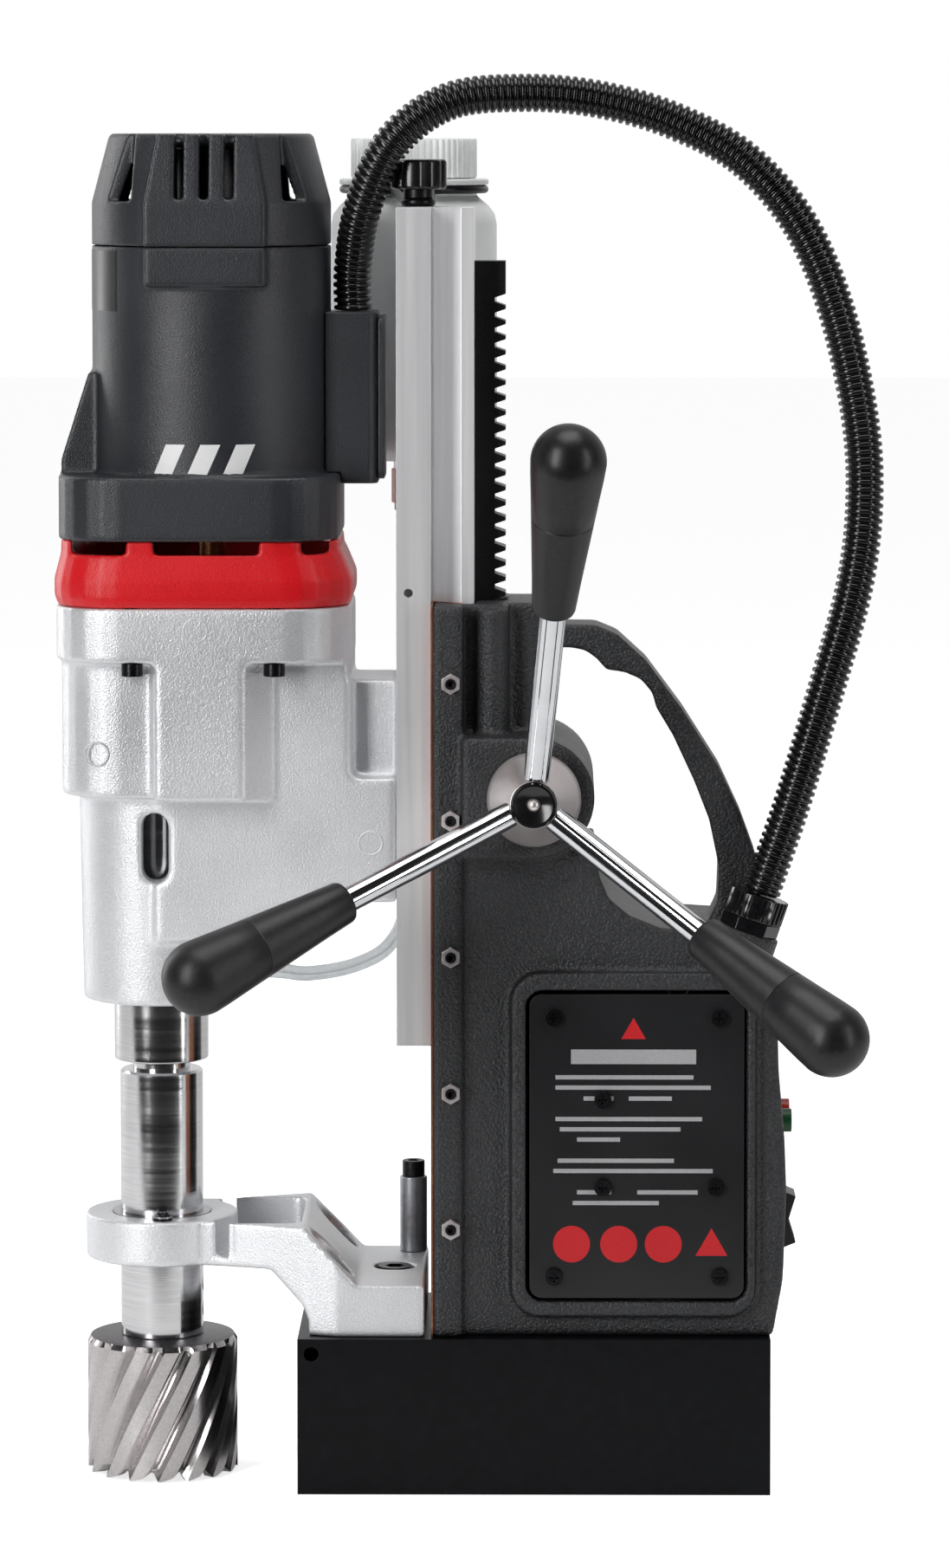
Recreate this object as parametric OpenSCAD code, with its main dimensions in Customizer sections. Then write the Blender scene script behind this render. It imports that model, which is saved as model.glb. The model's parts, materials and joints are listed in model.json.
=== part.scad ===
// Magnetic drill press: an electromagnet foot, a cast stand with a carry handle, a dovetail slide
// driven by a rack and a three-spoke handwheel, and a geared motor that turns an annular cutter.
// Millimetres. Origin at the centre of the magnet's sole, +Z up, -X to the cutter, -Y to the handwheel.

/* [Magnet foot] */
// Length of the magnet along X
magnet_l = 220; // [216:1:224]
// Width of the magnet along Y
magnet_w = 110; // [108:1:116]
// Height of the magnet
magnet_h = 73; // [72:0.5:74]
// Depth of the coil groove
coil_depth = 44; // [36:1:46]

/* [Stand] */
// Width of the two rails that carry the slide
stand_w = 100; // [98:1:104]
// Height of the top of the stand
stand_top = 414; // [410:1:418]
// Width of the carry handle
handle_w = 32; // [28:1:36]
// Width of the electronics cover
cover_w = 99.5; // [98:0.5:100]
// Height of the electronics cover
cover_h = 142; // [140:0.5:143]

/* [Slide and rack] */
// Width of the slide plate
slide_w = 80; // [76:1:84]
// Length of the slide
slide_len = 390; // [380:1:400]
// Running clearance of the dovetail
slide_gap = 0.08; // [0.05:0.01:0.12]
// Module of the rack and its pinion
feed_module = 2.25; // [2.25]
// Teeth on the feed pinion
pinion_teeth = 14; // [14]

/* [Gearbox] */
// Width of the gearbox flange
gearbox_w = 116; // [112:1:118]
// Diameter of the spindle nose casting
nose_d = 73; // [70:1:75]

/* [Motor] */
// Diameter of the motor body
motor_d = 112; // [110:1:114]
// Height of the top of the motor
motor_top = 632; // [630:1:636]

/* [Cutter] */
// Diameter of the annular cutter
cutter_d = 70.8; // [60:0.2:72]
// Wall of the annular cutter
cutter_wall = 6; // [5:0.5:7]
// Teeth on the annular cutter
cutter_teeth = 16; // [12:1:20]
// Diameter of the arbor
arbor_d = 39; // [39]

/* [Handwheel] */
// Distance from the hub centre to the tip of a knob
spoke_len = 205; // [190:1:215]
// Lean of the spokes away from the stand, in degrees
spoke_lean = 30; // [26:1:34]
// Turn of the first spoke from straight up, in degrees
spoke_turn = 5.5; // [0:0.5:60]

/* [Coolant] */
// Diameter of the coolant bottle
bottle_d = 80; // [76:1:82]
// Height of the bottle's shoulder above its base
bottle_h = 125; // [120:1:126]

/* [Hidden] */
$fn = 48;
eps = 0.01;
big = 300;

// rails, dovetail and rack, all along Z
rail_x = -47;
slide_x0 = -64;
slide_x1 = -48;
dove_root_x = -34;
dove_x = -28;
dove_neck = 17;
dove_wide = 27;
gib_t = 3;
slide_z0 = 208;
rack_x = -13.5;
rack_w = 18;
rack_z0 = 215;
rack_z1 = 572.6;
rack_slot_w = 20;
rack_screw_z = [240, 370, 500];
slide_bolt_z = [288, 321];

// feed pinion and its hub
pinion_z = 326;
pinion_r = feed_module * pinion_teeth / 2;
feed_pitch = PI * feed_module;
rack_first = 554.5;
spaces_down = floor((rack_first - pinion_z) / feed_pitch);
pinion_phase = (rack_first - spaces_down * feed_pitch - pinion_z) / pinion_r * 180 / PI;
bush_r = 19;
shaft_r = 10;
boss_r = 28;
boss_y = -60;
hub_y = -72;
spoke_r = 6;
knob_from = 108;

// gib screws
gib_x = -38.6;
gib_first = 124;
gib_step = 63.6;
gib_count = 5;

// electronics bay
bay = [-6, 90, 98, 236];
bay_back = 40;
cover_x0 = -2;
cover_z0 = 92;
cover_y = -52;
cover_t = 3;
corner_screws = [[9.2, 223.3], [86, 223.3], [9.4, 102], [86.4, 102]];
board_screws = [[32, 185], [32, 144], [84.4, 144]];
cover_spots = concat(corner_screws, board_screws);
housing_bolt_spots = [[22, -28], [74, -28], [22, 28], [74, 28]];

// rear controls
panel = [-28, 92, 28, 190];
panel_x = 113;
panel_t = 3;
button_z = 169;
button_r = 5.5;
switch_z = 121;

// conduit gland on the shoulder behind the handle
gland_at = [96, -31, 250];
gland_lean = 18.7;
gland_r = 14;

// support bracket and bracket screws
spindle_x = -176.2;
bracket_z = [102.4, 123.5];
bracket_r = 35.8;
bush_out = 23;
bracket_bolt_spots = [[-95, -34], [-95, 34], [-66, 0]];
post_at = [-58, 38];
post_top = 133;

// gearbox, spindle and motor levels
motor_x = -151.4;
flange_z = [388, 413.5];
collar_top = 438;
motor_z = 444.4;
flange_top = 474;
seam_z = 580;
taper_z = 600;
panel_half = 28;
nose_z = 225.5;
case_z = 324;
room_z = 332;
arm_z = 275;
arm_top = 378;
arbor_z = [65, 191.3];
spindle_z = 196.2;
cutter_z0 = 1;
shank_r = 9.525;
weldon_z = 77;

gearbox_screw_spots = [[-185.7, -52.5], [-120, -52.5], [-185.7, 54], [-120, 54]];

// gear train: spindle gear and idler, then idler and motor pinion
low_module = 1.5;
high_module = 1.25;
spindle_teeth = 36;
idler_small = 12;
idler_big = 30;
motor_teeth = 10;
low_reach = low_module * (spindle_teeth + idler_small) / 2;
high_reach = high_module * (idler_big + motor_teeth) / 2;
axis_gap = motor_x - spindle_x;
idler_dx = (low_reach ^ 2 - high_reach ^ 2 + axis_gap ^ 2) / (2 * axis_gap);
idler_dy = sqrt(low_reach ^ 2 - idler_dx ^ 2);
to_idler = atan2(idler_dy, idler_dx);
to_motor = atan2(-idler_dy, axis_gap - idler_dx);

// coolant
bottle_at = [-58.5, 85];
bottle_z = 475;
ring_z = 605;
wire_r = 2;
star_x = -54.5;
tap_z = 441;
inlet_z = 238;
conduit_r = 9;
hose_r = 3.5;
conduit_route = [
    [105.8, -31, 278.6], [120, -30, 320], [135, -27, 370], [149, -22, 420], [154, -17, 460],
    [152, -13, 500], [141, -9, 550], [124, -6, 590], [98, -4, 620], [65, -2, 638], [30, -3, 648],
    [-5, -7, 651], [-40, -13, 647], [-66, -17, 628], [-80, -11, 598], [-85, -1.5, 570], [-85, 0, 549.7]
];
hose_route = [
    [-58.5, 85, 431], [-58.5, 84, 400], [-58, 78, 350], [-58, 66, 300], [-61, 56, 262],
    [-70, 46, 243], [-86, 28, 236], [-106, 8, 235], [-118, 1, 237], [-128, 0, 238]
];

// ---- outlines and placing ----

function arc(c, r, a0, a1, n = 6) =
    [for (i = [0:n]) let (a = a0 + (a1 - a0) * i / n) [c.x + r * cos(a), c.y + r * sin(a)]];

// Outline in XZ, given a thickness from y0 to y1.
module along_y(y0, y1) {
    translate([0, y1, 0])
        rotate([90, 0, 0])
            linear_extrude(y1 - y0)
                children();
}

// Outline in YZ, given a thickness from x0 to x1.
module along_x(x0, x1) {
    translate([x0, 0, 0])
        rotate([90, 0, 90])
            linear_extrude(x1 - x0)
                children();
}

// Outline in XY, given a height from z0 to z1.
module along_z(z0, z1) {
    translate([0, 0, z0])
        linear_extrude(z1 - z0)
            children();
}

// Rectangle from corner a to corner b with rounded corners.
module soft_rect(a, b, r) {
    polygon(concat(
        arc([b.x - r, b.y - r], r, 0, 90),
        arc([a.x + r, b.y - r], r, 90, 180),
        arc([a.x + r, a.y + r], r, 180, 270),
        arc([b.x - r, a.y + r], r, 270, 360)
    ));
}

module rod_y(x, z, r, y0, y1) {
    translate([x, y1, z])
        rotate([90, 0, 0])
            cylinder(r = r, h = y1 - y0);
}

module rod_z(p, r, z0, z1) {
    translate([p.x, p.y, z0])
        cylinder(r = r, h = z1 - z0);
}

// Flat ring about the Z axis at p.
module ring_z(p, r_in, r_out, z0, z1) {
    difference() {
        rod_z(p, r_out, z0, z1);
        rod_z(p, r_in, z0 - 1, z1 + 1);
    }
}

// Spur gear outline: root, pitch and tip points of each flank, eased by slack on each side.
module gear(m, teeth, slack) {
    r = m * teeth / 2;
    ease = slack / r * 180 / PI;
    step = 360 / teeth;
    flank = [[r - 1.2 * m, 0.33], [r, 0.25], [r + 0.55 * m, 0.17], [r + 0.95 * m, 0.09]];
    polygon([
        for (i = [0:teeth - 1])
            for (side = [-1, 1])
                for (k = [0:3])
                    let (f = flank[side < 0 ? k : 3 - k], a = i * step + side * (f.y * step - ease))
                        [f.x * cos(a), f.x * sin(a)]
    ]);
}

// Smooth run through a route's points.
function blend(p, q, u, v, t) =
    0.5 * (2 * q + (u - p) * t + (2 * p - 5 * q + 4 * u - v) * t ^ 2 + (3 * q - p - 3 * u + v) * t ^ 3);
function smooth(route, n) = let (last = len(route) - 1) concat(
    [for (i = [0:last - 1]) for (j = [0:n - 1])
        blend(route[max(i - 1, 0)], route[i], route[i + 1], route[min(i + 2, last)], j / n)],
    [route[last]]
);

// Round tube along the points, closed at both ends; its rings are squared to the run.
module tube(points, r, sides) {
    last = len(points) - 1;
    rings = [for (i = [0:last])
        let (
            ahead = points[min(i + 1, last)] - points[max(i - 1, 0)],
            across = cross(ahead, [0, 1, 0]),
            u = across / norm(across),
            w = cross(u, ahead) / norm(cross(u, ahead))
        )
        for (k = [0:sides - 1]) points[i] + r * (u * cos(360 * k / sides) + w * sin(360 * k / sides))];
    walls = [for (i = [0:last - 1]) for (k = [0:sides - 1])
        let (a = i * sides + k, b = i * sides + (k + 1) % sides)
            each [[a, b, a + sides], [b, b + sides, a + sides]]];
    start = [[for (k = [0:sides - 1]) sides - 1 - k]];
    end = [[for (k = [0:sides - 1]) last * sides + k]];
    polyhedron(rings, concat(walls, start, end));
}

// ---- magnet foot ----

module coil_track(grow, z0, z1) {
    difference() {
        along_z(z0, z1)
            soft_rect([-97 - grow, -43 - grow], [97 + grow, 43 + grow], 12);
        along_z(z0 - 1, z1 + 1)
            soft_rect([-71 + grow, -16 + grow], [71 - grow, 16 - grow], 8);
    }
}

// Steel block with a coil groove in its sole and a tapped guard hole on each side.
module magnet_body() {
    color("#15171a")
        difference() {
            translate([-magnet_l / 2, -magnet_w / 2, 0])
                cube([magnet_l, magnet_w, magnet_h]);
            coil_track(0, -1, coil_depth);
            for (y = [-magnet_w / 2, magnet_w / 2 - 14])
                rod_y(-103.5, 66, 3.4, y - eps, y + 14 + eps);
            for (p = concat(bracket_bolt_spots, [post_at]))
                rod_z(p, 5, magnet_h - 18, magnet_h + 1);
            for (p = housing_bolt_spots)
                rod_z(p, 4, magnet_h - 14, magnet_h + 1);
        }
}

module magnet_coil() {
    color("#b0602a")
        coil_track(-1.5, 6, coil_depth - 1);
}

module magnet_potting() {
    color("#2a2a2c")
        coil_track(0, 0, 5.9);
}

// ---- stand ----

// Side outline of the lower stand, with the swept shoulder under the handle opening.
stand_outline = [
    [dove_root_x, magnet_h], [111.3, magnet_h], [116, 99], [117.6, 141], [116.7, 164.5], [113.9, 197],
    [112.7, 236], [106, 252], [96, 262], [80, 263], [59, 264], [44, 270], [34.6, 278], [30.5, 288],
    [28, 300], [dove_root_x, 300]
];
handle_outline = concat(
    [[2, 403], [28.5, 402.7], [38.7, 398.5], [52.4, 386], [69.5, 363], [86.6, 336], [96.8, 314],
     [103.7, 295], [108.6, 272.5], [110.6, 246], [81, 246]],
    [[81, 262], [86, 273], [86.6, 289], [82, 311], [75, 329], [65, 350.6], [57, 364], [55.3, 370.6],
     [50, 377], [42, 380.5], [34, 381.4], [29, 387], [24, 390.5], [17, 392], [2, 392]]
);

module rails() {
    along_z(magnet_h, stand_top)
        soft_rect([rail_x, -stand_w / 2], [-33, stand_w / 2], 2);
}

// Column above the boss: a core, a round rib on each side and the narrow back block.
module upper_column() {
    along_z(295, stand_top)
        soft_rect([-34, -36], [-12, 36], 2);
    along_z(295, stand_top)
        soft_rect([-20, -28], [3, 28], 3);
    for (side = [-1, 1])
        rod_z([-19.5, side * 36], 7.5, 295, stand_top - 2);
}

module stand_body() {
    rails();
    upper_column();
    along_y(-46, 46)
        polygon(stand_outline);
    along_y(boss_y, 46) {
        translate([-33, 298])
            square([33, 56]);
        translate([0, pinion_z])
            circle(boss_r);
    }
    along_y(cover_y, -40)
        soft_rect([-10.7, 83], [103, 244], 14);
    along_y(-handle_w / 2, handle_w / 2)
        polygon(handle_outline);
    translate(gland_at)
        rotate([0, gland_lean, 0])
            cylinder(r = 15, h = 24, center = true);
}

// Dovetail way, widened on the near side for the gib, and the slot that the rack runs in.
module slide_way() {
    g = slide_gap;
    along_z(magnet_h - 1, stand_top + 1) {
        polygon([
            [slide_x1 - 2, -dove_neck + 1 - gib_t - g], [rail_x, -dove_neck - gib_t - g],
            [dove_root_x, -dove_wide - gib_t - g], [dove_x + g, -dove_wide - gib_t - g],
            [dove_x + g, dove_wide + g], [dove_root_x, dove_wide + g], [rail_x, dove_neck + 0.8 + g],
            [slide_x1 - 2, dove_neck + 0.8 + g]
        ]);
        translate([dove_x - 1, -rack_slot_w / 2])
            square([rack_x + 0.6 - dove_x + 1, rack_slot_w]);
    }
}

// Hollow behind the cover, with a screw post at each screw.
module electronics_bay() {
    difference() {
        along_y(cover_y + cover_t - eps, bay_back)
            soft_rect([bay[0], bay[1]], [bay[2], bay[3]], 8);
        for (p = cover_spots)
            rod_y(p.x, p.y, 5, cover_y + cover_t, bay_back + 1);
    }
    along_y(cover_y - 1, cover_y + cover_t)
        soft_rect([cover_x0 - 1.5, cover_z0 - 1.5],
            [cover_x0 + cover_w + 1.5, cover_z0 + cover_h + 1.5], 7);
}

module stand_housing() {
    color("#2b2d31")
        difference() {
            stand_body();
            slide_way();
            electronics_bay();
            for (p = cover_spots)
                rod_y(p.x, p.y, 2, cover_y, -36);
            for (p = housing_bolt_spots)
                rod_z(p, 4, magnet_h - 1, 100);
            for (i = [0:gib_count - 1])
                rod_y(gib_x, gib_first + i * gib_step, 2.5, -stand_w / 2 - 1, -24);
            rod_y(0, pinion_z, bush_r, boss_y - 1, 10);
            rod_y(0, pinion_z, 14, 5, 47);
            along_x(panel_x - panel_t, big)
                soft_rect([panel[0], panel[1]], [panel[2], panel[3]], 3);
            along_x(90, panel_x)
                soft_rect([panel[0] + 4, panel[1] + 6], [panel[2] - 4, panel[3] - 6], 3);
            translate(gland_at)
                rotate([0, gland_lean, 0])
                    translate([0, 0, -30])
                        cylinder(r = 8, h = 60);
            rod_y(60, 110, 10, bay_back - 1, 47);
        }
}

// Socket bolts that hold the housing and the bracket down on the magnet.
module foot_bolts() {
    color("#1c1c1e") {
        for (p = housing_bolt_spots) {
            rod_z(p, 4, magnet_h - 14, bay[1]);
            rod_z(p, 6.5, bay[1], bay[1] + 8);
        }
        for (p = bracket_bolt_spots)
            difference() {
                union() {
                    rod_z(p, 5, magnet_h - 18, 87);
                    rod_z(p, 8, 87, 97);
                }
                translate([p.x, p.y, 92])
                    cylinder(d = 9.2, h = 6, $fn = 6);
            }
    }
}

module cover_plate() {
    color("#101113")
        difference() {
            along_y(cover_y, cover_y + cover_t)
                soft_rect([cover_x0, cover_z0], [cover_x0 + cover_w, cover_z0 + cover_h], 5.6);
            for (p = cover_spots)
                rod_y(p.x, p.y, 2, cover_y - 1, cover_y + 4);
        }
}

module cover_screws() {
    color("#17181a")
        for (p = cover_spots) {
            rod_y(p.x, p.y, 2, cover_y - 1, -36);
            difference() {
                rod_y(p.x, p.y, 4, cover_y - 2.4, cover_y);
                for (a = [0, 90])
                    translate([p.x, cover_y - 2, p.y])
                        rotate([0, a, 0])
                            cube([4.4, 2.4, 0.9], center = true);
            }
        }
}

// Brass strip on the near flank of the dovetail, with a thin lip over the rail face.
module gib_strip() {
    g = slide_gap;
    color("#a4552e")
        along_z(magnet_h, stand_top)
            polygon([
                [rail_x - 0.9, -dove_neck - g], [rail_x, -dove_neck - g - 0.72],
                [dove_root_x, -dove_wide - g], [dove_root_x, -dove_wide - gib_t - g],
                [rail_x, -dove_neck - gib_t - g], [rail_x, -stand_w / 2 + 2],
                [rail_x - 0.9, -stand_w / 2 + 2]
            ]);
}

module gib_screws() {
    color("#202124")
        for (i = [0:gib_count - 1])
            difference() {
                rod_y(gib_x, gib_first + i * gib_step, 2.5, -stand_w / 2 - 4.4, -28.6);
                rod_y(gib_x, gib_first + i * gib_step, 1.4, -stand_w / 2 - 5, -stand_w / 2 - 2);
            }
}

module gib_nuts() {
    color("#8d8a88")
        for (i = [0:gib_count - 1])
            translate([gib_x, -stand_w / 2, gib_first + i * gib_step])
                rotate([90, 30, 0])
                    difference() {
                        cylinder(d = 9.6, h = 3.6, $fn = 6);
                        translate([0, 0, -1])
                            cylinder(r = 2.5, h = 6);
                    }
}

// Casting bolted to the magnet's top that steadies the arbor: a ring, a pocketed arm and a foot.
module support_bracket() {
    top = bracket_z[1];
    low = bracket_z[0];
    color("#b9bcc0")
        difference() {
            union() {
                rod_z([spindle_x, 0], bracket_r, low, top);
                intersection() {
                    along_y(-50, 50)
                        polygon([
                            [spindle_x, low], [-123, low], [-108, 87], [-105, 80], [-105, magnet_h],
                            [-51, magnet_h], [-51, 97], [-82, 97], [-84.7, 99.8], [-107, top],
                            [spindle_x, top]
                        ]);
                    along_z(magnet_h, top)
                        polygon([
                            [spindle_x, -28], [-150, -31], [-128, -38], [-107, -46], [-92, -50], [-51, -50],
                            [-51, 50], [-92, 50], [-107, 46], [-128, 38], [-150, 31], [spindle_x, 28]
                        ]);
                }
            }
            difference() {
                along_z(107, top + 1)
                    soft_rect([-150, -33], [-109, 33], 6);
                rod_z([spindle_x, 0], bracket_r, low, top + 2);
            }
            rod_z([spindle_x, 0], bush_out, low - 1, top + 1);
            rod_z([spindle_x + 2, -27], 2, top - 8, top + 1);
            for (p = bracket_bolt_spots) {
                rod_z(p, 5, magnet_h - 1, big);
                rod_z(p, 9.5, 87, big);
            }
            rod_z(post_at, 5, magnet_h - 1, 98);
        }
}

module bracket_bushing() {
    color("#c8a25c") {
        ring_z([spindle_x, 0], arbor_d / 2 + 0.05, bush_out, bracket_z[0], bracket_z[1]);
        rod_z([spindle_x + 2, -27], 2, bracket_z[1] - 8, bracket_z[1]);
        rod_z([spindle_x + 2, -27], 4.5, bracket_z[1], bracket_z[1] + 2);
    }
}

module stop_post() {
    color("#33353a")
        ring_z(post_at, 3, 6.5, 97, post_top);
}

module stop_post_screw() {
    color("#1d1e20")
        difference() {
            union() {
                rod_z(post_at, 3, magnet_h - 10, post_top);
                rod_z(post_at, 5, magnet_h - 10, 97);
                rod_z(post_at, 5.35, post_top, post_top + 7.6);
            }
            translate([post_at.x, post_at.y, post_top + 4])
                cylinder(d = 5.8, h = 5, $fn = 6);
        }
}

module pinion_bushings() {
    color("#b08a4a") {
        difference() {
            rod_y(0, pinion_z, bush_r, boss_y, -10);
            rod_y(0, pinion_z, shaft_r + 0.05, boss_y - 1, 0);
        }
        difference() {
            rod_y(0, pinion_z, 14, 11, 46);
            rod_y(0, pinion_z, 8.05, 5, 47);
        }
    }
}

// Circuit board on its posts, with a heat sink, a transformer and two relays.
module control_board() {
    color("#1f5a35") {
        translate([39, 10, 108])
            cube([39, 1.6, 112]);
        translate([42, -8, 112])
            cube([32, 18, 34]);
        translate([44, -18, 160])
            cube([12, 28, 18]);
        translate([60, -18, 160])
            cube([12, 28, 18]);
        translate([42, 0, 190])
            cube([30, 10, 22]);
        for (z = [116, 212])
            rod_y(46, z, 3, 11.6, bay_back);
    }
}

// Plate for the rear controls, open behind the two buttons and the rocker.
module rear_panel() {
    color("#1b1c1f")
        difference() {
            along_x(panel_x - panel_t, panel_x)
                soft_rect([panel[0], panel[1]], [panel[2], panel[3]], 3);
            along_x(panel_x - 5, panel_x + 1)
                translate([-11, switch_z - 15])
                    square([22, 30]);
            for (y = [-14, 14])
                translate([0, y, button_z])
                    rotate([0, 90, 0])
                        cylinder_between(button_r + 0.1, panel_x - 5, panel_x + 1);
        }
}

module gland_place(z) {
    translate(gland_at)
        rotate([0, gland_lean, 0])
            translate([0, 0, z])
                children();
}

module gland_body() {
    color("#141517")
        gland_place(12)
            difference() {
                union() {
                    translate([0, 0, -24])
                        cylinder(r = 8, h = 24);
                    cylinder(d = 28, h = 6, $fn = 6);
                }
                translate([0, 0, -25])
                    cylinder(r = 6, h = 40);
            }
}

module gland_nut() {
    color("#141517")
        gland_place(18)
            difference() {
                cylinder(r = gland_r, h = 11.6);
                translate([0, 0, -1])
                    cylinder(r = 6, h = 20);
            }
}

module mains_gland() {
    color("#141517")
        difference() {
            union() {
                rod_y(60, 110, 10, bay_back, 46);
                rod_y(60, 110, 13, 46, 54);
                rod_y(60, 110, 10.5, 54, 68);
            }
            rod_y(60, 110, 5, bay_back - 1, 69);
        }
}

// Flexible conduit between the motor's terminal box and the stand.
module conduit() {
    color("#0d0e10")
        tube(smooth(conduit_route, 2), conduit_r, 12);
}

// ---- carriage ----

module slide() {
    z1 = slide_z0 + slide_len;
    color("#d4d6d9")
        difference() {
            along_z(slide_z0, z1) {
                translate([slide_x0, -slide_w / 2])
                    square([slide_x1 - slide_x0, slide_w]);
                polygon([
                    [slide_x1 - 1, -dove_neck + 0.5], [slide_x1, -dove_neck], [dove_root_x, -dove_wide],
                    [dove_x, -dove_wide], [dove_x, dove_wide], [dove_root_x, dove_wide],
                    [slide_x1, dove_neck], [slide_x1 - 1, dove_neck - 0.5]
                ]);
            }
            rod_y(-58.3, 419.4, 2.1, -slide_w / 2 - 1, -slide_w / 2 + 14);
            rod_z([star_x, 0], 4, z1 - 22, z1 + 1);
            for (z = rack_screw_z)
                translate([dove_x - 12, 0, z])
                    rotate([0, 90, 0])
                        cylinder(r = 3, h = 13);
            for (z = slide_bolt_z)
                for (y = [-30, 30])
                    translate([slide_x0, y, z])
                        rotate([0, 90, 0]) {
                            cylinder_between(4, -1, 17);
                            cylinder_between(6.6, 8, 17);
                        }
        }
}

// Bar with straight-flanked teeth cut in its lower run; the top end is plain.
module rack() {
    root = -pinion_r - 1.25 * feed_module;
    tip = -pinion_r + feed_module;
    half_root = 0.25 * feed_pitch - 0.75;
    half_tip = 0.25 * feed_pitch + 0.95;
    count = floor((rack_first - rack_z0) / feed_pitch);
    color("#16171a")
        difference() {
            along_z(rack_z0, rack_z1)
                translate([dove_x, -rack_w / 2])
                    square([tip - dove_x, rack_w]);
            for (i = [0:count])
                along_y(-rack_w, rack_w)
                    translate([0, rack_first - i * feed_pitch])
                        polygon([
                            [root, -half_root], [tip + 1, -half_tip - 0.35], [tip + 1, half_tip + 0.35],
                            [root, half_root]
                        ]);
            for (z = rack_screw_z)
                translate([dove_x - 1, 0, z])
                    rotate([0, 90, 0])
                        cylinder(r = 3, h = 30);
        }
}

// Screws that hold the rack in the slide, and bolts that hold the gearbox on it.
module slide_screws() {
    color("#1d1e20") {
        for (z = rack_screw_z)
            translate([dove_x - 12, 0, z])
                rotate([0, 90, 0])
                    cylinder(r = 3, h = 12 - pinion_r - 1.5 * feed_module - dove_x);
        for (z = slide_bolt_z)
            for (y = [-30, 30])
                translate([slide_x0, y, z])
                    rotate([0, 90, 0]) {
                        cylinder_between(4, -20, 8);
                        cylinder_between(6.5, 8, 15.5);
                    }
    }
}

// Gear case with a flange above, a proud column on its near face, a nose below and an arm to the slide.
module gearbox_body() {
    arm = 40;
    along_z(flange_z[0], flange_z[1])
        soft_rect([-222.6, -gearbox_w / 2], [-85, gearbox_w / 2], 30);
    along_z(case_z, flange_z[0] + 1) {
        soft_rect([-221, -46], [-150, 53], 28);
        polygon([[-193, -46], [-126, -46], [-121, -arm], [-86, -arm], [-86, 53], [-193, 53]]);
    }
    along_z(case_z, flange_z[0] + 1)
        polygon([[-178, -40], [-175, -58], [-134, -58], [-124, -44], [-122, -38]]);
    translate([spindle_x, 0, nose_z])
        cylinder(r1 = nose_d / 2, r2 = nose_d / 2 + 1.8, h = case_z + 4 - nose_z);
    difference() {
        along_y(-arm, arm)
            polygon([
                [spindle_x, 256], [-145, 258], [-131, 267], [-119, 271.3], [-107, 273.5],
                [-92, arm_z], [slide_x0, arm_z], [slide_x0, arm_top], [-88, arm_top],
                [-88, flange_z[0] + 1], [spindle_x, flange_z[0] + 1]
            ]);
        for (side = [-1, 1])
            along_y(side * arm - 14, side * arm + 14)
                soft_rect([-85, 333], [slide_x0 + 8, arm_top + 8], 4);
    }
}

module gearbox_housing() {
    s = [spindle_x, 0];
    color("#c9cbce")
        difference() {
            gearbox_body();
            along_z(room_z, flange_z[1] + 1)
                soft_rect([-207, -35], [-95, 46], 18);
            rod_z(s, 22.5, nose_z - 1, 247);
            rod_z(s, 30, 246, 264);
            rod_z(s, 24, 263, 318);
            rod_z(s, 26, 317, room_z + 1);
            rod_z([spindle_x + idler_dx, idler_dy], 6.05, 326.5, room_z + 1);
            along_y(-big, big)
                soft_rect([spindle_x - 6.5, 284], [spindle_x + 6, 316.5], 6);
            for (z = slide_bolt_z)
                for (y = [-30, 30])
                    translate([-85, y, z])
                        rotate([0, 90, 0])
                            cylinder(r = 4, h = 40);
            translate([-160, 0, inlet_z])
                rotate([0, 90, 0])
                    cylinder(r = 5, h = 24);
            for (p = gearbox_screw_spots) {
                rod_z(p, 3, 386, flange_z[1] + 1);
                rod_z(p, 6, 374, flange_z[0]);
            }
        }
}

module gearbox_screws() {
    color("#1b1c1e")
        for (p = gearbox_screw_spots) {
            rod_z(p, 3, flange_z[0], 420);
            rod_z(p, 5, flange_z[0] - 6, flange_z[0]);
        }
}

// Red spacer that seats the motor's lower bearing and lets its cooling air out.
module air_collar() {
    color("#b3201f")
        difference() {
            union() {
                hull() {
                    along_z(flange_z[1], 414.5)
                        soft_rect([-221.9, -57.4], [-86, 57.4], 30);
                    along_z(418, 426)
                        soft_rect([-223.5, -59], [-84.4, 59], 31);
                    along_z(437, collar_top)
                        soft_rect([-220.4, -56.4], [-89.4, 56.4], 29);
                }
                along_z(collar_top, motor_z)
                    soft_rect([-220.4, -56.4], [-90.4, 56.4], 29);
            }
            along_z(421, motor_z + 1)
                difference() {
                    soft_rect([-216, -52], [-95, 52], 26);
                    translate([motor_x, 0])
                        circle(20);
                }
            along_z(432, motor_z + 1)
                translate([motor_x, 0])
                    circle(21);
            rod_z([motor_x, 0], 16, 422, 434);
            rod_z([motor_x, 0], 9, 400, 434);
            rod_z([spindle_x + idler_dx, idler_dy], 6.05, 400, 419);
            for (p = gearbox_screw_spots)
                rod_z(p, 3, 400, 420);
            for (window = [[-214, -188.3], [-175.5, -127], [-107.5, -95]])
                along_y(-big, big)
                    translate([window.x, collar_top])
                        square([window.y - window.x, 8]);
        }
}

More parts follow.
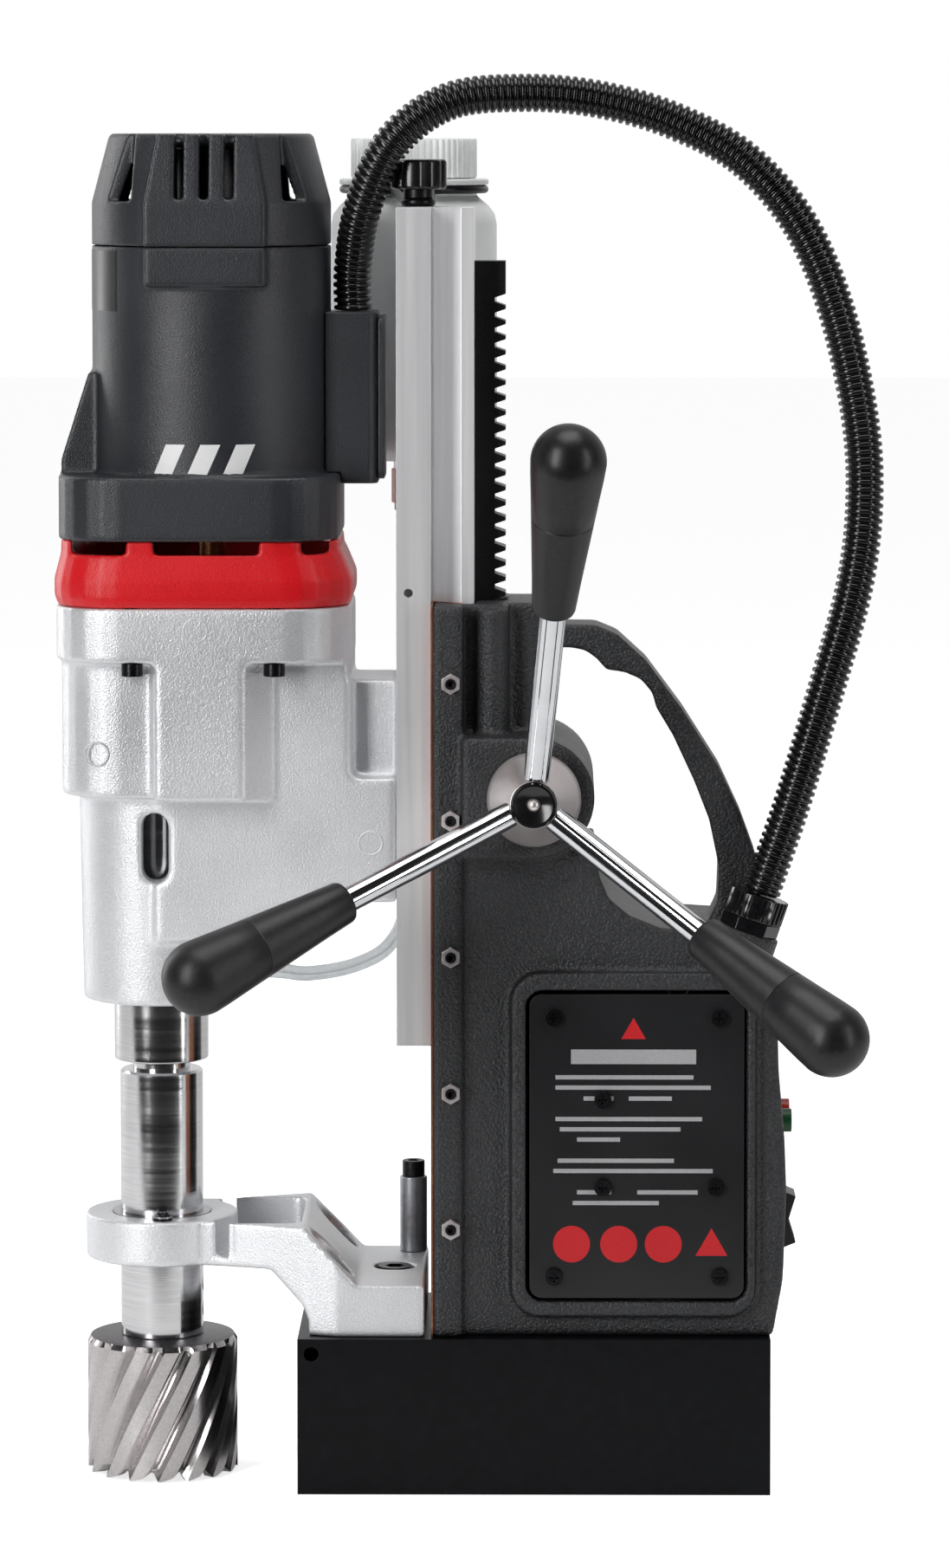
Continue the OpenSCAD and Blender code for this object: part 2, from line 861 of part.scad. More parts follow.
// Flat raised panels on the near and far sides; they lean in above the foot of the taper.
module motor_panels(z0, z1) {
    foot = min(taper_z, z1);
    for (side = [-1, 1])
        intersection() {
            along_x(motor_x - panel_half, motor_x + panel_half)
                polygon([
                    [side * 30, 560], [side * 58.2, 560], [side * 58.2, taper_z],
                    [side * 50.5, motor_top], [side * 30, motor_top]
                ]);
            along_y(-60, 60)
                translate([motor_x, 0])
                    polygon([
                        [-panel_half, z0], [panel_half, z0], [panel_half, foot], [panel_half - 6, z1],
                        [6 - panel_half, z1], [-panel_half, foot]
                    ]);
        }
}

module motor_housing() {
    r = motor_d / 2;
    color("#303236")
        difference() {
            union() {
                along_z(motor_z, flange_top)
                    soft_rect([-221.4, -58], [-90.3, 58], 30);
                rod_z([motor_x, 0], r, flange_top, seam_z);
                intersection() {
                    motor_panels(562, motor_top);
                    along_z(500, seam_z)
                        square(big * 2, center = true);
                }
                along_y(-20, 20)
                    polygon([[-220, motor_z + 4], [-221, 480], [-208, 521], [-198, 521], [-198, motor_z + 4]]);
            }
            rod_z([motor_x, 0], r - 5, motor_z - 1, seam_z + 1);
        }
}

// Top shell of the motor with the upper bearing seat, corner pockets and air slots.
module motor_cap() {
    r = motor_d / 2;
    top = motor_top;
    color("#303236")
        difference() {
            union() {
                translate([motor_x, 0, 0])
                    rotate_extrude()
                        polygon([
                            [0, top], [r - 9.5, top], [r - 8, top - 1.5], [r, taper_z], [r, seam_z + 0.3],
                            [r - 4, seam_z + 0.3], [r - 4, 598], [r - 12, top - 6], [0, top - 6]
                        ]);
                difference() {
                    motor_panels(seam_z + 0.3, top);
                    rod_z([motor_x, 0], r - 9, seam_z - 1, top - 6);
                }
                rod_z([motor_x, 0], 16, 598, top - 5);
            }
            rod_z([motor_x, 0], 12, 590, 610);
            ring_z([motor_x, 0], 37, 40, top - 3, top + 1);
            ring_z([motor_x, 0], 28, 31, top - 3, top + 1);
            for (side = [-1, 1]) {
                for (x = [-12, -0.5, 11])
                    translate([motor_x + x - 2.15, side * 50 - 14, 602])
                        cube([4.3, 28, 40]);
                for (turn = [-1, 1])
                    along_y(side * 45 - 14, side * 45 + 14)
                        translate([motor_x, 0])
                            polygon([
                                [turn * 35, 601], [turn * 48, 601], [turn * 40, top + 1], [turn * 33, top + 1]
                            ]);
            }
        }
}

module motor_field() {
    color("#7a5230")
        ring_z([motor_x, 0], 33, motor_d / 2 - 5, 482, 560);
}

module brushes() {
    reach = motor_d / 2 - 5.5;
    color("#2c2c2e")
        for (side = [-1, 1])
            along_y(min(side * 17.2, side * reach), max(side * 17.2, side * reach))
                translate([motor_x - 4, 570])
                    square([8, 9]);
}

module motor_bearings() {
    color("#9a9ca0") {
        ring_z([motor_x, 0], 6.05, 16, 422, 432);
        ring_z([motor_x, 0], 6.05, 12, 601, 610);
    }
}

// Terminal box between the motor and the slide; the conduit enters its top.
module junction_box() {
    color("#2d2f33")
        difference() {
            along_z(469, 549)
                difference() {
                    soft_rect([-101, -18], [-73, 18], 5);
                    translate([motor_x, 0])
                        circle(motor_d / 2 + 0.1);
                }
            along_z(468, flange_top + 0.1)
                translate([-102, -20])
                    square([11.8, 40]);
            along_z(476, 546)
                difference() {
                    soft_rect([-99, -15], [-70, 15], 3);
                    translate([motor_x, 0])
                        circle(motor_d / 2 + 3);
                }
        }
}

module junction_box_cover() {
    color("#2d2f33")
        along_x(-73, -70)
            soft_rect([-17, 471], [17, 547], 4);
}

// Bent wire: an eye under the star knob, two arms and a ring under the bottle's collar.
module bottle_holder() {
    color("#18191b") {
        translate([bottle_at.x, bottle_at.y, ring_z])
            rotate_extrude()
                translate([34, 0])
                    circle(wire_r, $fn = 16);
        translate([star_x, 0, 600])
            rotate_extrude()
                translate([6.2, 0])
                    circle(wire_r, $fn = 16);
        for (side = [-1, 1])
            hull() {
                translate([star_x + side * 5.5, 3, 600])
                    sphere(wire_r, $fn = 16);
                translate([bottle_at.x + side * 9, bottle_at.y - 33, ring_z])
                    sphere(wire_r, $fn = 16);
            }
    }
}

module coolant_bottle() {
    r = bottle_d / 2;
    z1 = bottle_z + bottle_h;
    color("#e6e9e8")
        translate([bottle_at.x, bottle_at.y, 0])
            rotate_extrude()
                polygon([
                    [8, bottle_z - 5], [10, bottle_z - 5], [10, bottle_z], [r - 9, bottle_z],
                    [r, bottle_z + 9], [r, z1 - 10], [r - 3, z1 - 4], [31, z1 + 1], [30.4, z1 + 2],
                    [30.4, ring_z + 2.2], [36, ring_z + 2.2], [36, 610], [27, 610], [27, z1 + 2],
                    [r - 3, z1 - 9], [r - 2, bottle_z + 10], [r - 10, bottle_z + 2], [8, bottle_z + 2]
                ]);
}

module coolant_tap() {
    color("#9c4a3a")
        translate([bottle_at.x, bottle_at.y, 0])
            difference() {
                union() {
                    cylinder_between(11, 453.5, 470);
                    cylinder_between(9.6, 449.7, 453.5);
                    cylinder_between(7.5, 437, 449.7);
                    cylinder_between(4.5, 431, 437);
                }
                cylinder_between(2.5, 430, 471);
            }
}

module cylinder_between(r, z0, z1) {
    translate([0, 0, z0])
        cylinder(r = r, h = z1 - z0);
}

module tap_lever() {
    x = bottle_at.x;
    y = bottle_at.y + 7.6;
    color("#9c4a3a") {
        rod_y(x, 443, 4, y, y + 8);
        along_y(y + 5, y + 8)
            translate([x - 3, 443])
                square([6, 22]);
    }
}

module hose_inlet() {
    color("#b78b45")
        translate([0, 0, inlet_z])
            rotate([0, 90, 0])
                difference() {
                    union() {
                        cylinder_between(5, -151, -139.5);
                        cylinder_between(7, -139.5, -133);
                        cylinder_between(4.5, -133, -128);
                    }
                    cylinder_between(2, -152, -127);
                }
}

module coolant_hose() {
    color("#dfe3e4")
        tube(smooth(hose_route, 2), hose_r, 10);
}

module spindle_bearings() {
    color("#9a9ca0") {
        ring_z([spindle_x, 0], 17.55, 30, 246, 264);
        ring_z([spindle_x, 0], 15.05, 26, 318, room_z);
    }
}

// ---- spindle line ----

// Stepped shaft with a taper socket and a drift slot across its upper end.
module spindle() {
    color("#b4b7bb")
        difference() {
            translate([spindle_x, 0, 0])
                rotate_extrude()
                    polygon([
                        [12.2, spindle_z], [21.6, spindle_z], [22.15, spindle_z + 0.6], [22.15, 229.6],
                        [17.5, 229.6], [17.5, 266], [16.5, 266], [16.5, 317.5], [15, 317.5], [15, 336],
                        [13, 336], [13, 360], [0, 360], [0, 312], [9.5, 312], [9.5, 290]
                    ]);
            translate([spindle_x - 30, -3.5, 292])
                cube([60, 7, 20]);
        }
}

module arbor() {
    r = arbor_d / 2;
    color("#8f9296")
        difference() {
            translate([spindle_x, 0, 0])
                rotate_extrude()
                    polygon([
                        [shank_r, arbor_z[0]], [r - 0.6, arbor_z[0]], [r, arbor_z[0] + 0.6], [r, arbor_z[1] - 1],
                        [r - 1, arbor_z[1]], [13.5, arbor_z[1]], [13.5, spindle_z], [12.1, spindle_z],
                        [9.45, 290], [0, 290], [0, 186], [7, 186], [7, 96], [shank_r, 96]
                    ]);
            for (z = [weldon_z, weldon_z + 12])
                translate([spindle_x, 0, z])
                    rotate([0, 90, 0])
                        cylinder(r = 4, h = 30);
        }
}

module arbor_screws() {
    color("#202124")
        for (z = [weldon_z, weldon_z + 12])
            translate([spindle_x + shank_r + 0.4, 0, z])
                rotate([0, 90, 0])
                    difference() {
                        cylinder(r = 4, h = arbor_d / 2 - shank_r - 1.4);
                        translate([0, 0, 4])
                            cylinder(d = 4.6, h = 10, $fn = 6);
                    }
}

// Hollow cutter with gullets between its end teeth and a plain shank.
module cutter() {
    r = cutter_d / 2;
    top = arbor_z[0];
    color("#a9acb0")
        difference() {
            translate([spindle_x, 0, 0])
                rotate_extrude()
                    polygon([
                        [r - cutter_wall, cutter_z0], [r, cutter_z0], [r, top - 4], [r - 4, top],
                        [shank_r, top], [shank_r, 94], [3.4, 94], [3.4, top - 7], [r - cutter_wall, top - 7]
                    ]);
            for (i = [0:cutter_teeth - 1])
                translate([spindle_x, 0, cutter_z0])
                    rotate([0, 0, i * 360 / cutter_teeth])
                        translate([r - cutter_wall - 1, 0, -1])
                            cube([cutter_wall + 2, r * 0.16, 5]);
        }
}

module pilot_pin() {
    color("#b4b7bb")
        translate([spindle_x, 0, 0])
            rotate_extrude()
                polygon([[0, 1.5], [3.2, 6], [3.2, 94.3], [6, 94.3], [6, 104], [0, 104]]);
}

// Coil spring above the pin, drawn as a folded sleeve.
module ejector_spring() {
    turns = 12;
    step = (186 - 104) / turns;
    color("#6d7075")
        translate([spindle_x, 0, 0])
            rotate_extrude()
                polygon(concat(
                    [for (i = [0:2 * turns]) [i % 2 == 0 ? 5 : 6.2, 104 + i * step / 2]],
                    [for (i = [2 * turns:-1:0]) [i % 2 == 0 ? 3.8 : 5, 104 + i * step / 2]]
                ));
}

module spindle_gear() {
    color("#5b5e63")
        translate([spindle_x, 0, 338])
            linear_extrude(14)
                difference() {
                    rotate(to_idler)
                        gear(low_module, spindle_teeth, 0.25);
                    circle(13);
                }
}

// ---- motor line ----

module armature() {
    m = [motor_x, 0];
    color("#8a5a33") {
        translate([motor_x, 0, 370])
            linear_extrude(15)
                rotate(to_motor + 180 + 180 / motor_teeth)
                    gear(high_module, motor_teeth, 0.2);
        rod_z(m, 6, 384, 609.5);
        rod_z(m, 32.4, 488, 554);
        rod_z(m, 17, 566, 584);
    }
}

module cooling_fan() {
    color("#3b3d41") {
        ring_z([motor_x, 0], 6, 46, 450, 453);
        for (i = [0:8])
            translate([motor_x, 0, 452.9])
                rotate([0, 0, i * 40])
                    translate([14, -1, 0])
                        cube([31, 2, 12]);
    }
}

module idler_gear() {
    at = [spindle_x + idler_dx, idler_dy];
    color("#5b5e63")
        translate([at.x, at.y, 0]) {
            translate([0, 0, 337])
                linear_extrude(16)
                    rotate(to_idler + 180 + 180 / idler_small)
                        gear(low_module, idler_small, 0.25);
            translate([0, 0, 372])
                linear_extrude(10)
                    rotate(to_motor)
                        gear(high_module, idler_big, 0.2);
            cylinder_between(6, 327, 418.5);
        }
}

// ---- handwheel ----

module feed_pinion() {
    color("#6c6f74") {
        along_y(-9.5, 9.5)
            translate([0, pinion_z])
                rotate(180 - pinion_phase)
                    gear(feed_module, pinion_teeth, 0.3);
        rod_y(0, pinion_z, shaft_r, -66, -9);
        rod_y(0, pinion_z, 8, 9, 46);
    }
}

// Bright cone on the shaft end with a black cap and a small ball at its centre.
module feed_hub() {
    color("#d8d4d2")
        translate([0, 0, pinion_z])
            rotate([90, 0, 0])
                rotate_extrude()
                    polygon([
                        [0, 66], [shaft_r, 66], [shaft_r, 60.6], [21.2, 60.6], [21.8, 61.4], [21.8, 64],
                        [20.4, 67], [11.6, 82], [10.5, 85], [9.6, 86.6], [3, 83.5], [2.7, 86], [0, 87.2]
                    ]);
}

// Places one child per spoke, with the child's +Z along the spoke.
module per_spoke() {
    translate([0, hub_y, pinion_z])
        for (i = [0:2])
            rotate([0, spoke_turn + i * 120, 0])
                rotate([spoke_lean, 0, 0])
                    children();
}

module spokes() {
    color("#c7cacd")
        difference() {
            per_spoke()
                cylinder_between(spoke_r, 9, spoke_len - 40);
            translate([0, 0, pinion_z])
                rotate([90, 0, 0])
                    rotate_extrude()
                        polygon([[0, 50], [21.8, 50], [21.8, 64], [20.4, 67], [11.6, 82], [10.5, 90], [0, 90]]);
        }
}

module spoke_knobs() {
    tip = 17;
    color("#17181b")
        difference() {
            per_spoke()
                rotate_extrude()
                    polygon(concat(
                        [[0, knob_from], [9, knob_from], [10, knob_from + 2]],
                        arc([0, spoke_len - tip], tip, 10, 90, 10)
                    ));
            per_spoke()
                cylinder_between(spoke_r, 20, spoke_len - 40);
        }
}

// ---- hand parts ----

module star_knob() {
    color("#15161a")
        translate([star_x, 0, 0]) {
            cylinder_between(4, 580, 603);
            cylinder_between(7, 602.2, 607);
            difference() {
                cylinder_between(13.4, 606, 620);
                for (i = [0:6])
                    rotate([0, 0, i * 360 / 7])
                        translate([14.6, 0, 600])
                            cylinder(r = 3, h = 30);
            }
        }
}

module bottle_cap() {
    color("#e2e5e4")
        translate([bottle_at.x, bottle_at.y, 0])
            difference() {
                union() {
                    cylinder_between(30.4, 610.3, 628);
                    cylinder_between(28.6, 627, 629.5);
                }
                cylinder_between(26, 609, 625);
            }
}

// Push button on the rear panel, with a collar behind the panel that keeps it in.
module button(y) {
    translate([0, y, button_z])
        rotate([0, 90, 0]) {
            cylinder_between(button_r, 107, 121);
            cylinder_between(button_r + 1.5, 107.8, panel_x - panel_t - 0.1);
        }
}

module start_button() {
    color("#2f8f4a")
        button(-14);
}

module stop_button() {
    color("#c02a22")
        button(14);
}

// Rocker on a pivot pin that shows at both sides of its opening.
module magnet_switch() {
    color("#202226") {
        along_y(-10, 10)
            polygon([
                [108, switch_z - 9], [112, switch_z - 13], [117, switch_z - 13.6], [123.4, switch_z - 11],
                [120, switch_z], [123.4, switch_z + 11], [117, switch_z + 13.6], [112, switch_z + 13],
                [108, switch_z + 9]
            ]);
        rod_y(panel_x, switch_z, 2, -10.8, 10.8);
    }
}

magnet_body();
magnet_coil();
magnet_potting();
stand_housing();
foot_bolts();
cover_plate();
cover_screws();
gib_strip();
gib_screws();
gib_nuts();
support_bracket();
bracket_bushing();
stop_post();
stop_post_screw();
pinion_bushings();
control_board();
rear_panel();
gland_body();
gland_nut();
mains_gland();
conduit();
slide();
rack();
slide_screws();
gearbox_housing();
gearbox_screws();
air_collar();
motor_housing();
motor_cap();
motor_field();
brushes();
motor_bearings();
junction_box();
junction_box_cover();
bottle_holder();
coolant_bottle();
coolant_tap();
hose_inlet();
coolant_hose();
spindle_bearings();
spindle();
arbor();
arbor_screws();
cutter();
pilot_pin();
ejector_spring();
spindle_gear();
armature();
cooling_fan();
idler_gear();
feed_pinion();
feed_hub();
spokes();
spoke_knobs();
star_knob();
bottle_cap();
tap_lever();
magnet_switch();
start_button();
stop_button();
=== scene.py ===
import json
from math import cos, pi, radians, sin, tan

import bmesh
import bpy
from mathutils import Matrix, Vector
from mathutils.geometry import interpolate_bezier

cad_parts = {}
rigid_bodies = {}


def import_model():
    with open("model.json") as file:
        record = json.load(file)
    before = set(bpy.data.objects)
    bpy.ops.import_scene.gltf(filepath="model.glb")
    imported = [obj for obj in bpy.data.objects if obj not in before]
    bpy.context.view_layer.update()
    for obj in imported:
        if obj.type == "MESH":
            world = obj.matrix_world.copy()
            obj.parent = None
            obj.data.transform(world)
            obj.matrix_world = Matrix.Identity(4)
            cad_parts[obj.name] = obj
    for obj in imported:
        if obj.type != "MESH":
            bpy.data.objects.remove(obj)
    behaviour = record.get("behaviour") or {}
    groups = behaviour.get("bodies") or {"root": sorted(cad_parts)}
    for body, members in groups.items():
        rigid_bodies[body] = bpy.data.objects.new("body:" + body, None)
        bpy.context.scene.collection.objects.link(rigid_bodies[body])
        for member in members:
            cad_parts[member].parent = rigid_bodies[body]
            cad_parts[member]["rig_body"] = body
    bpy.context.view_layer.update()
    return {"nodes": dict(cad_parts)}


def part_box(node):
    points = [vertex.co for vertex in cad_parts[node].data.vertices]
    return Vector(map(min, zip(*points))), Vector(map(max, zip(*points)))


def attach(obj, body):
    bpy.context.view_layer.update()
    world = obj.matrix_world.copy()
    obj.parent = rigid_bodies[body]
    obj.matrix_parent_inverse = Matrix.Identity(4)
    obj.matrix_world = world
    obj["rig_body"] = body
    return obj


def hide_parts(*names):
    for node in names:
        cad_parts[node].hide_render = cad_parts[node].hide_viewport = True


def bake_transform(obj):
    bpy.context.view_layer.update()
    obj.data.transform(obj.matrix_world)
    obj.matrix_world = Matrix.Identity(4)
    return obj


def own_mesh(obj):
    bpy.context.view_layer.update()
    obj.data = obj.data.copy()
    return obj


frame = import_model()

scene = bpy.context.scene
scene.view_settings.view_transform = "Standard"

# ---- camera ----
# A long lens stands nearly three metres in front, level with the top of the machine.
# Its shift keeps the uprights parallel while the whole machine stays in view.
lens = bpy.data.cameras.new("long_lens")
lens.lens = 135.25
lens.sensor_width = 36
lens.shift_x = -0.02
lens.shift_y = -0.2
camera = bpy.data.objects.new("camera", lens)
camera.location = (0.0092, -2.761, 0.642)
camera.rotation_euler = (radians(90 - 3.48), 0, radians(0.47))
scene.collection.objects.link(camera)
scene.camera = camera

# ---- conduit ----
# Black corrugated nylon conduit, 18 mm over its ribs, that carries the motor's wires.
# It is pushed into the gland on the stand and into the top of the motor's terminal box.
mm = 0.001


def run_through(route):
    """Close points along a smooth run through the route, which is in metres."""
    points = [Vector(p) for p in route]
    last = len(points) - 1
    pull = [(points[min(i + 1, last)] - points[max(i - 1, 0)]) / 6 for i in range(last + 1)]
    line = []
    for i in range(last):
        bend = interpolate_bezier(points[i], points[i] + pull[i],
                                  points[i + 1] - pull[i + 1], points[i + 1], 17)
        line += bend[:-1]
    return line + [points[last]]


def run_length(line):
    return sum((b - a).length for a, b in zip(line, line[1:]))


def line_curve(name, line):
    """A curve with one open run of short steps through the line's points."""
    curve = bpy.data.curves.new(name, "CURVE")
    curve.dimensions = "3D"
    spline = curve.splines.new("POLY")
    spline.points.add(len(line) - 1)
    for point, p in zip(spline.points, line):
        point.co = (*p, 1)
    spline.use_smooth = True
    return curve


def turned(profile, at=(0, 0, 0), axis=(0, 0, 1), steps=64):
    """A turned shape: (radius, height) points in mm, spun about the axis through at."""
    bm = bmesh.new()
    points = [bm.verts.new((r, 0, z)) for r, z in profile]
    lines = [bm.edges.new(pair) for pair in zip(points, points[1:])]
    bmesh.ops.spin(bm, geom=points + lines, axis=(0, 0, 1), cent=(0, 0, 0),
                   steps=steps, angle=2 * pi, use_merge=True)
    bmesh.ops.remove_doubles(bm, verts=bm.verts, dist=1e-4)
    bmesh.ops.recalc_face_normals(bm, faces=bm.faces)
    turn = Vector((0, 0, 1)).rotation_difference(Vector(axis)).to_matrix().to_4x4()
    bm.transform(Matrix.Scale(mm, 4) @ Matrix.Translation(at) @ turn)
    return bm


def add_piece(name, bm, material, sharp=35):
    """Makes the shaped mesh an object of its own, smooth but for its real corners."""
    mesh = bpy.data.meshes.new(name)
    bm.to_mesh(mesh)
    bm.free()
    mesh.materials.append(material)
    mesh.shade_smooth()
    mesh.set_sharp_from_angle(angle=radians(sharp))
    piece = bpy.data.objects.new(name, mesh)
    scene.collection.objects.link(piece)
    return piece


def fit(piece, body, slot, *stands_for):
    """Fixes a piece to its body and hides the plain piece it stands for; the slot is not used."""
    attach(piece, body)
    if stands_for:
        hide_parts(*stands_for)
    return piece


def applied(piece):
    """Gives the piece the mesh that its modifiers make, and takes them off."""
    seen = piece.evaluated_get(bpy.context.evaluated_depsgraph_get())
    mesh = bpy.data.meshes.new_from_object(seen)
    piece.modifiers.clear()
    piece.data = mesh
    return piece


def add_node(tree, kind, **settings):
    made = tree.nodes.new("ShaderNode" + kind)
    for key, value in settings.items():
        setattr(made, key, value)
    return made


def make_group(name, inputs, outputs):
    """An empty shader group with its named sockets and the nodes at its two ends."""
    group = bpy.data.node_groups.new(name, "ShaderNodeTree")
    for socket, kind in inputs:
        group.interface.new_socket(socket, in_out="INPUT", socket_type="NodeSocket" + kind)
    for socket, kind in outputs:
        group.interface.new_socket(socket, in_out="OUTPUT", socket_type="NodeSocket" + kind)
    return group, group.nodes.new("NodeGroupInput"), group.nodes.new("NodeGroupOutput")


grain_group, given, made = make_group(
    "surface_grain",
    [("Pale", "Color"), ("Dark", "Color"), ("Grain", "Float"), ("Relief", "Float"),
     ("Cloud", "Float"), ("Smooth", "Float"), ("Rough", "Float"), ("Stretch", "Vector")],
    [("Color", "Color"), ("Roughness", "Float"), ("Normal", "Vector")])
link = grain_group.links.new
place = add_node(grain_group, "TexCoord")
pull_out = add_node(grain_group, "Mapping")
link(place.outputs["Object"], pull_out.inputs["Vector"])
link(given.outputs["Stretch"], pull_out.inputs["Scale"])
speck = add_node(grain_group, "TexNoise")
speck.inputs["Detail"].default_value = 2.0
link(pull_out.outputs["Vector"], speck.inputs["Vector"])
link(given.outputs["Grain"], speck.inputs["Scale"])
cloud = add_node(grain_group, "TexNoise")
cloud.inputs["Detail"].default_value = 4.0
link(pull_out.outputs["Vector"], cloud.inputs["Vector"])
link(given.outputs["Cloud"], cloud.inputs["Scale"])
both = add_node(grain_group, "Math", operation="MULTIPLY_ADD")
both.inputs[1].default_value = 0.55
link(speck.outputs["Fac"], both.inputs[0])
halved = add_node(grain_group, "Math", operation="MULTIPLY")
halved.inputs[1].default_value = 0.45
link(cloud.outputs["Fac"], halved.inputs[0])
link(halved.outputs[0], both.inputs[2])
spread = add_node(grain_group, "MapRange")
spread.inputs["From Min"].default_value = 0.36
spread.inputs["From Max"].default_value = 0.64
link(both.outputs[0], spread.inputs["Value"])
tone = add_node(grain_group, "Mix", data_type="RGBA")
link(spread.outputs["Result"], tone.inputs["Factor"])
link(given.outputs["Dark"], tone.inputs["A"])
link(given.outputs["Pale"], tone.inputs["B"])
link(tone.outputs["Result"], made.inputs["Color"])
polish = add_node(grain_group, "MapRange")
polish.inputs["From Min"].default_value = 0.3
polish.inputs["From Max"].default_value = 0.7
link(cloud.outputs["Fac"], polish.inputs["Value"])
link(given.outputs["Smooth"], polish.inputs["To Min"])
link(given.outputs["Rough"], polish.inputs["To Max"])
link(polish.outputs["Result"], made.inputs["Roughness"])
lumps = add_node(grain_group, "Bump")
lumps.inputs["Strength"].default_value = 1.0
link(speck.outputs["Fac"], lumps.inputs["Height"])
link(given.outputs["Relief"], lumps.inputs["Distance"])
link(lumps.outputs["Normal"], made.inputs["Normal"])


def grained(name, pale, dark, grain, relief, rough, cloud=12.0, stretch=(1, 1, 1), **plain):
    """A finish with grain of that many specks a metre and that relief in mm."""
    material = bpy.data.materials.new(name)
    material.use_nodes = True
    tree = material.node_tree
    shader = tree.nodes["Principled BSDF"]
    for key, value in plain.items():
        shader.inputs[key.replace("_", " ")].default_value = value
    surface = tree.nodes.new("ShaderNodeGroup")
    surface.node_tree = grain_group
    surface.inputs["Pale"].default_value = (*pale, 1)
    surface.inputs["Dark"].default_value = (*dark, 1)
    surface.inputs["Grain"].default_value = grain
    surface.inputs["Relief"].default_value = relief * mm
    surface.inputs["Cloud"].default_value = cloud
    surface.inputs["Smooth"].default_value = rough[0]
    surface.inputs["Rough"].default_value = rough[1]
    surface.inputs["Stretch"].default_value = stretch
    tree.links.new(surface.outputs["Color"], shader.inputs["Base Color"])
    tree.links.new(surface.outputs["Roughness"], shader.inputs["Roughness"])
    tree.links.new(surface.outputs["Normal"], shader.inputs["Normal"])
    return material


gloss_black = grained("gloss_black_plastic", (0.010, 0.010, 0.011), (0.004, 0.004, 0.005),
                      220, 0.01, (0.12, 0.22), Specular_IOR_Level=0.6)
conduit_route = [
    (0.1058, -0.031, 0.2786), (0.120, -0.030, 0.320), (0.135, -0.027, 0.370),
    (0.149, -0.022, 0.420), (0.154, -0.017, 0.460), (0.152, -0.013, 0.500),
    (0.141, -0.009, 0.550), (0.124, -0.006, 0.590), (0.098, -0.004, 0.620),
    (0.065, -0.002, 0.638), (0.030, -0.003, 0.648), (-0.005, -0.007, 0.651),
    (-0.040, -0.013, 0.647), (-0.066, -0.017, 0.628), (-0.080, -0.011, 0.598),
    (-0.085, -0.0015, 0.570), (-0.085, 0, 0.5497)]
conduit_line = run_through(conduit_route)
conduit_length = run_length(conduit_line)
rib_pitch = 3.5
rib_count = round(conduit_length / mm / rib_pitch)
rib_pitch = conduit_length / mm / rib_count
rib = turned([(7.5, 0), (7.5, 0.9), (8.75, 1.3), (9, 1.75), (9, 2.65), (8.75, 3.1),
              (7.5, rib_pitch)], axis=(1, 0, 0), steps=24)
conduit = add_piece("conduit_ribbed", rib, gloss_black, sharp=180)
row = conduit.modifiers.new("ribs", "ARRAY")
row.count = rib_count
row.use_relative_offset = False
row.use_constant_offset = True
row.constant_offset_displace = (rib_pitch * mm, 0, 0)
row.use_merge_vertices = True
row.merge_threshold = 0.05 * mm
applied(conduit)
track = bpy.data.objects.new("conduit_track", line_curve("conduit_track", conduit_line))
scene.collection.objects.link(track)
follow = conduit.modifiers.new("follow", "CURVE")
follow.object = track
applied(conduit)
bpy.data.objects.remove(track)
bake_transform(conduit)
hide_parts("conduit")

# ---- coolant hose ----
# Clear soft tube, 7 mm across, between the bottle's tap and the gearbox nose.
# It is pushed over the tap's tail and over the brass inlet.
hose_route = [
    (-0.0585, 0.085, 0.431), (-0.0585, 0.084, 0.400), (-0.058, 0.078, 0.350),
    (-0.058, 0.066, 0.300), (-0.061, 0.056, 0.262), (-0.070, 0.046, 0.243),
    (-0.086, 0.028, 0.236), (-0.106, 0.008, 0.235), (-0.118, 0.001, 0.237), (-0.128, 0, 0.238)]
hose_line = run_through(hose_route)
hose_curve = line_curve("coolant_tube", hose_line)
hose_curve.bevel_depth = 3.5 * mm
hose_curve.bevel_resolution = 6
hose_curve.use_fill_caps = True
clear_tube = grained("clear_hose", (0.86, 0.89, 0.90), (0.74, 0.78, 0.80), 300, 0.01, (0.08, 0.2),
                     IOR=1.4, Transmission_Weight=0.75)
hose_curve.materials.append(clear_tube)
hose = bpy.data.objects.new("coolant_tube", hose_curve)
scene.collection.objects.link(hose)
fit(hose, "carriage", "clear_hose", "coolant_hose")

# ---- studio ----
# A white floor that sweeps away out of sight, with a bright background and a dim room in front.
# A tall soft box stands to the left, a narrow one to the right and a broad one hangs overhead.
floor_bm = bmesh.new()
bmesh.ops.create_grid(floor_bm, x_segments=2, y_segments=2, size=6)
bmesh.ops.translate(floor_bm, verts=floor_bm.verts, vec=(0, 5.5, 0))
floor_paint = bpy.data.materials.new("white_floor")
floor_paint.use_nodes = True
floor_shader = floor_paint.node_tree.nodes["Principled BSDF"]
floor_shader.inputs["Base Color"].default_value = (0.9, 0.9, 0.9, 1)
floor_shader.inputs["Roughness"].default_value = 0.9
floor_shader.inputs["Emission Color"].default_value = (1, 1, 1, 1)
floor_glow = add_node(floor_paint.node_tree, "LightPath")
floor_level = add_node(floor_paint.node_tree, "Math", operation="MULTIPLY_ADD")
floor_level.inputs[1].default_value = 0.62
floor_level.inputs[2].default_value = 0.12
floor_paint.node_tree.links.new(floor_glow.outputs["Is Camera Ray"], floor_level.inputs[0])
floor_paint.node_tree.links.new(floor_level.outputs[0], floor_shader.inputs["Emission Strength"])
floor = add_piece("studio_floor", floor_bm, floor_paint)

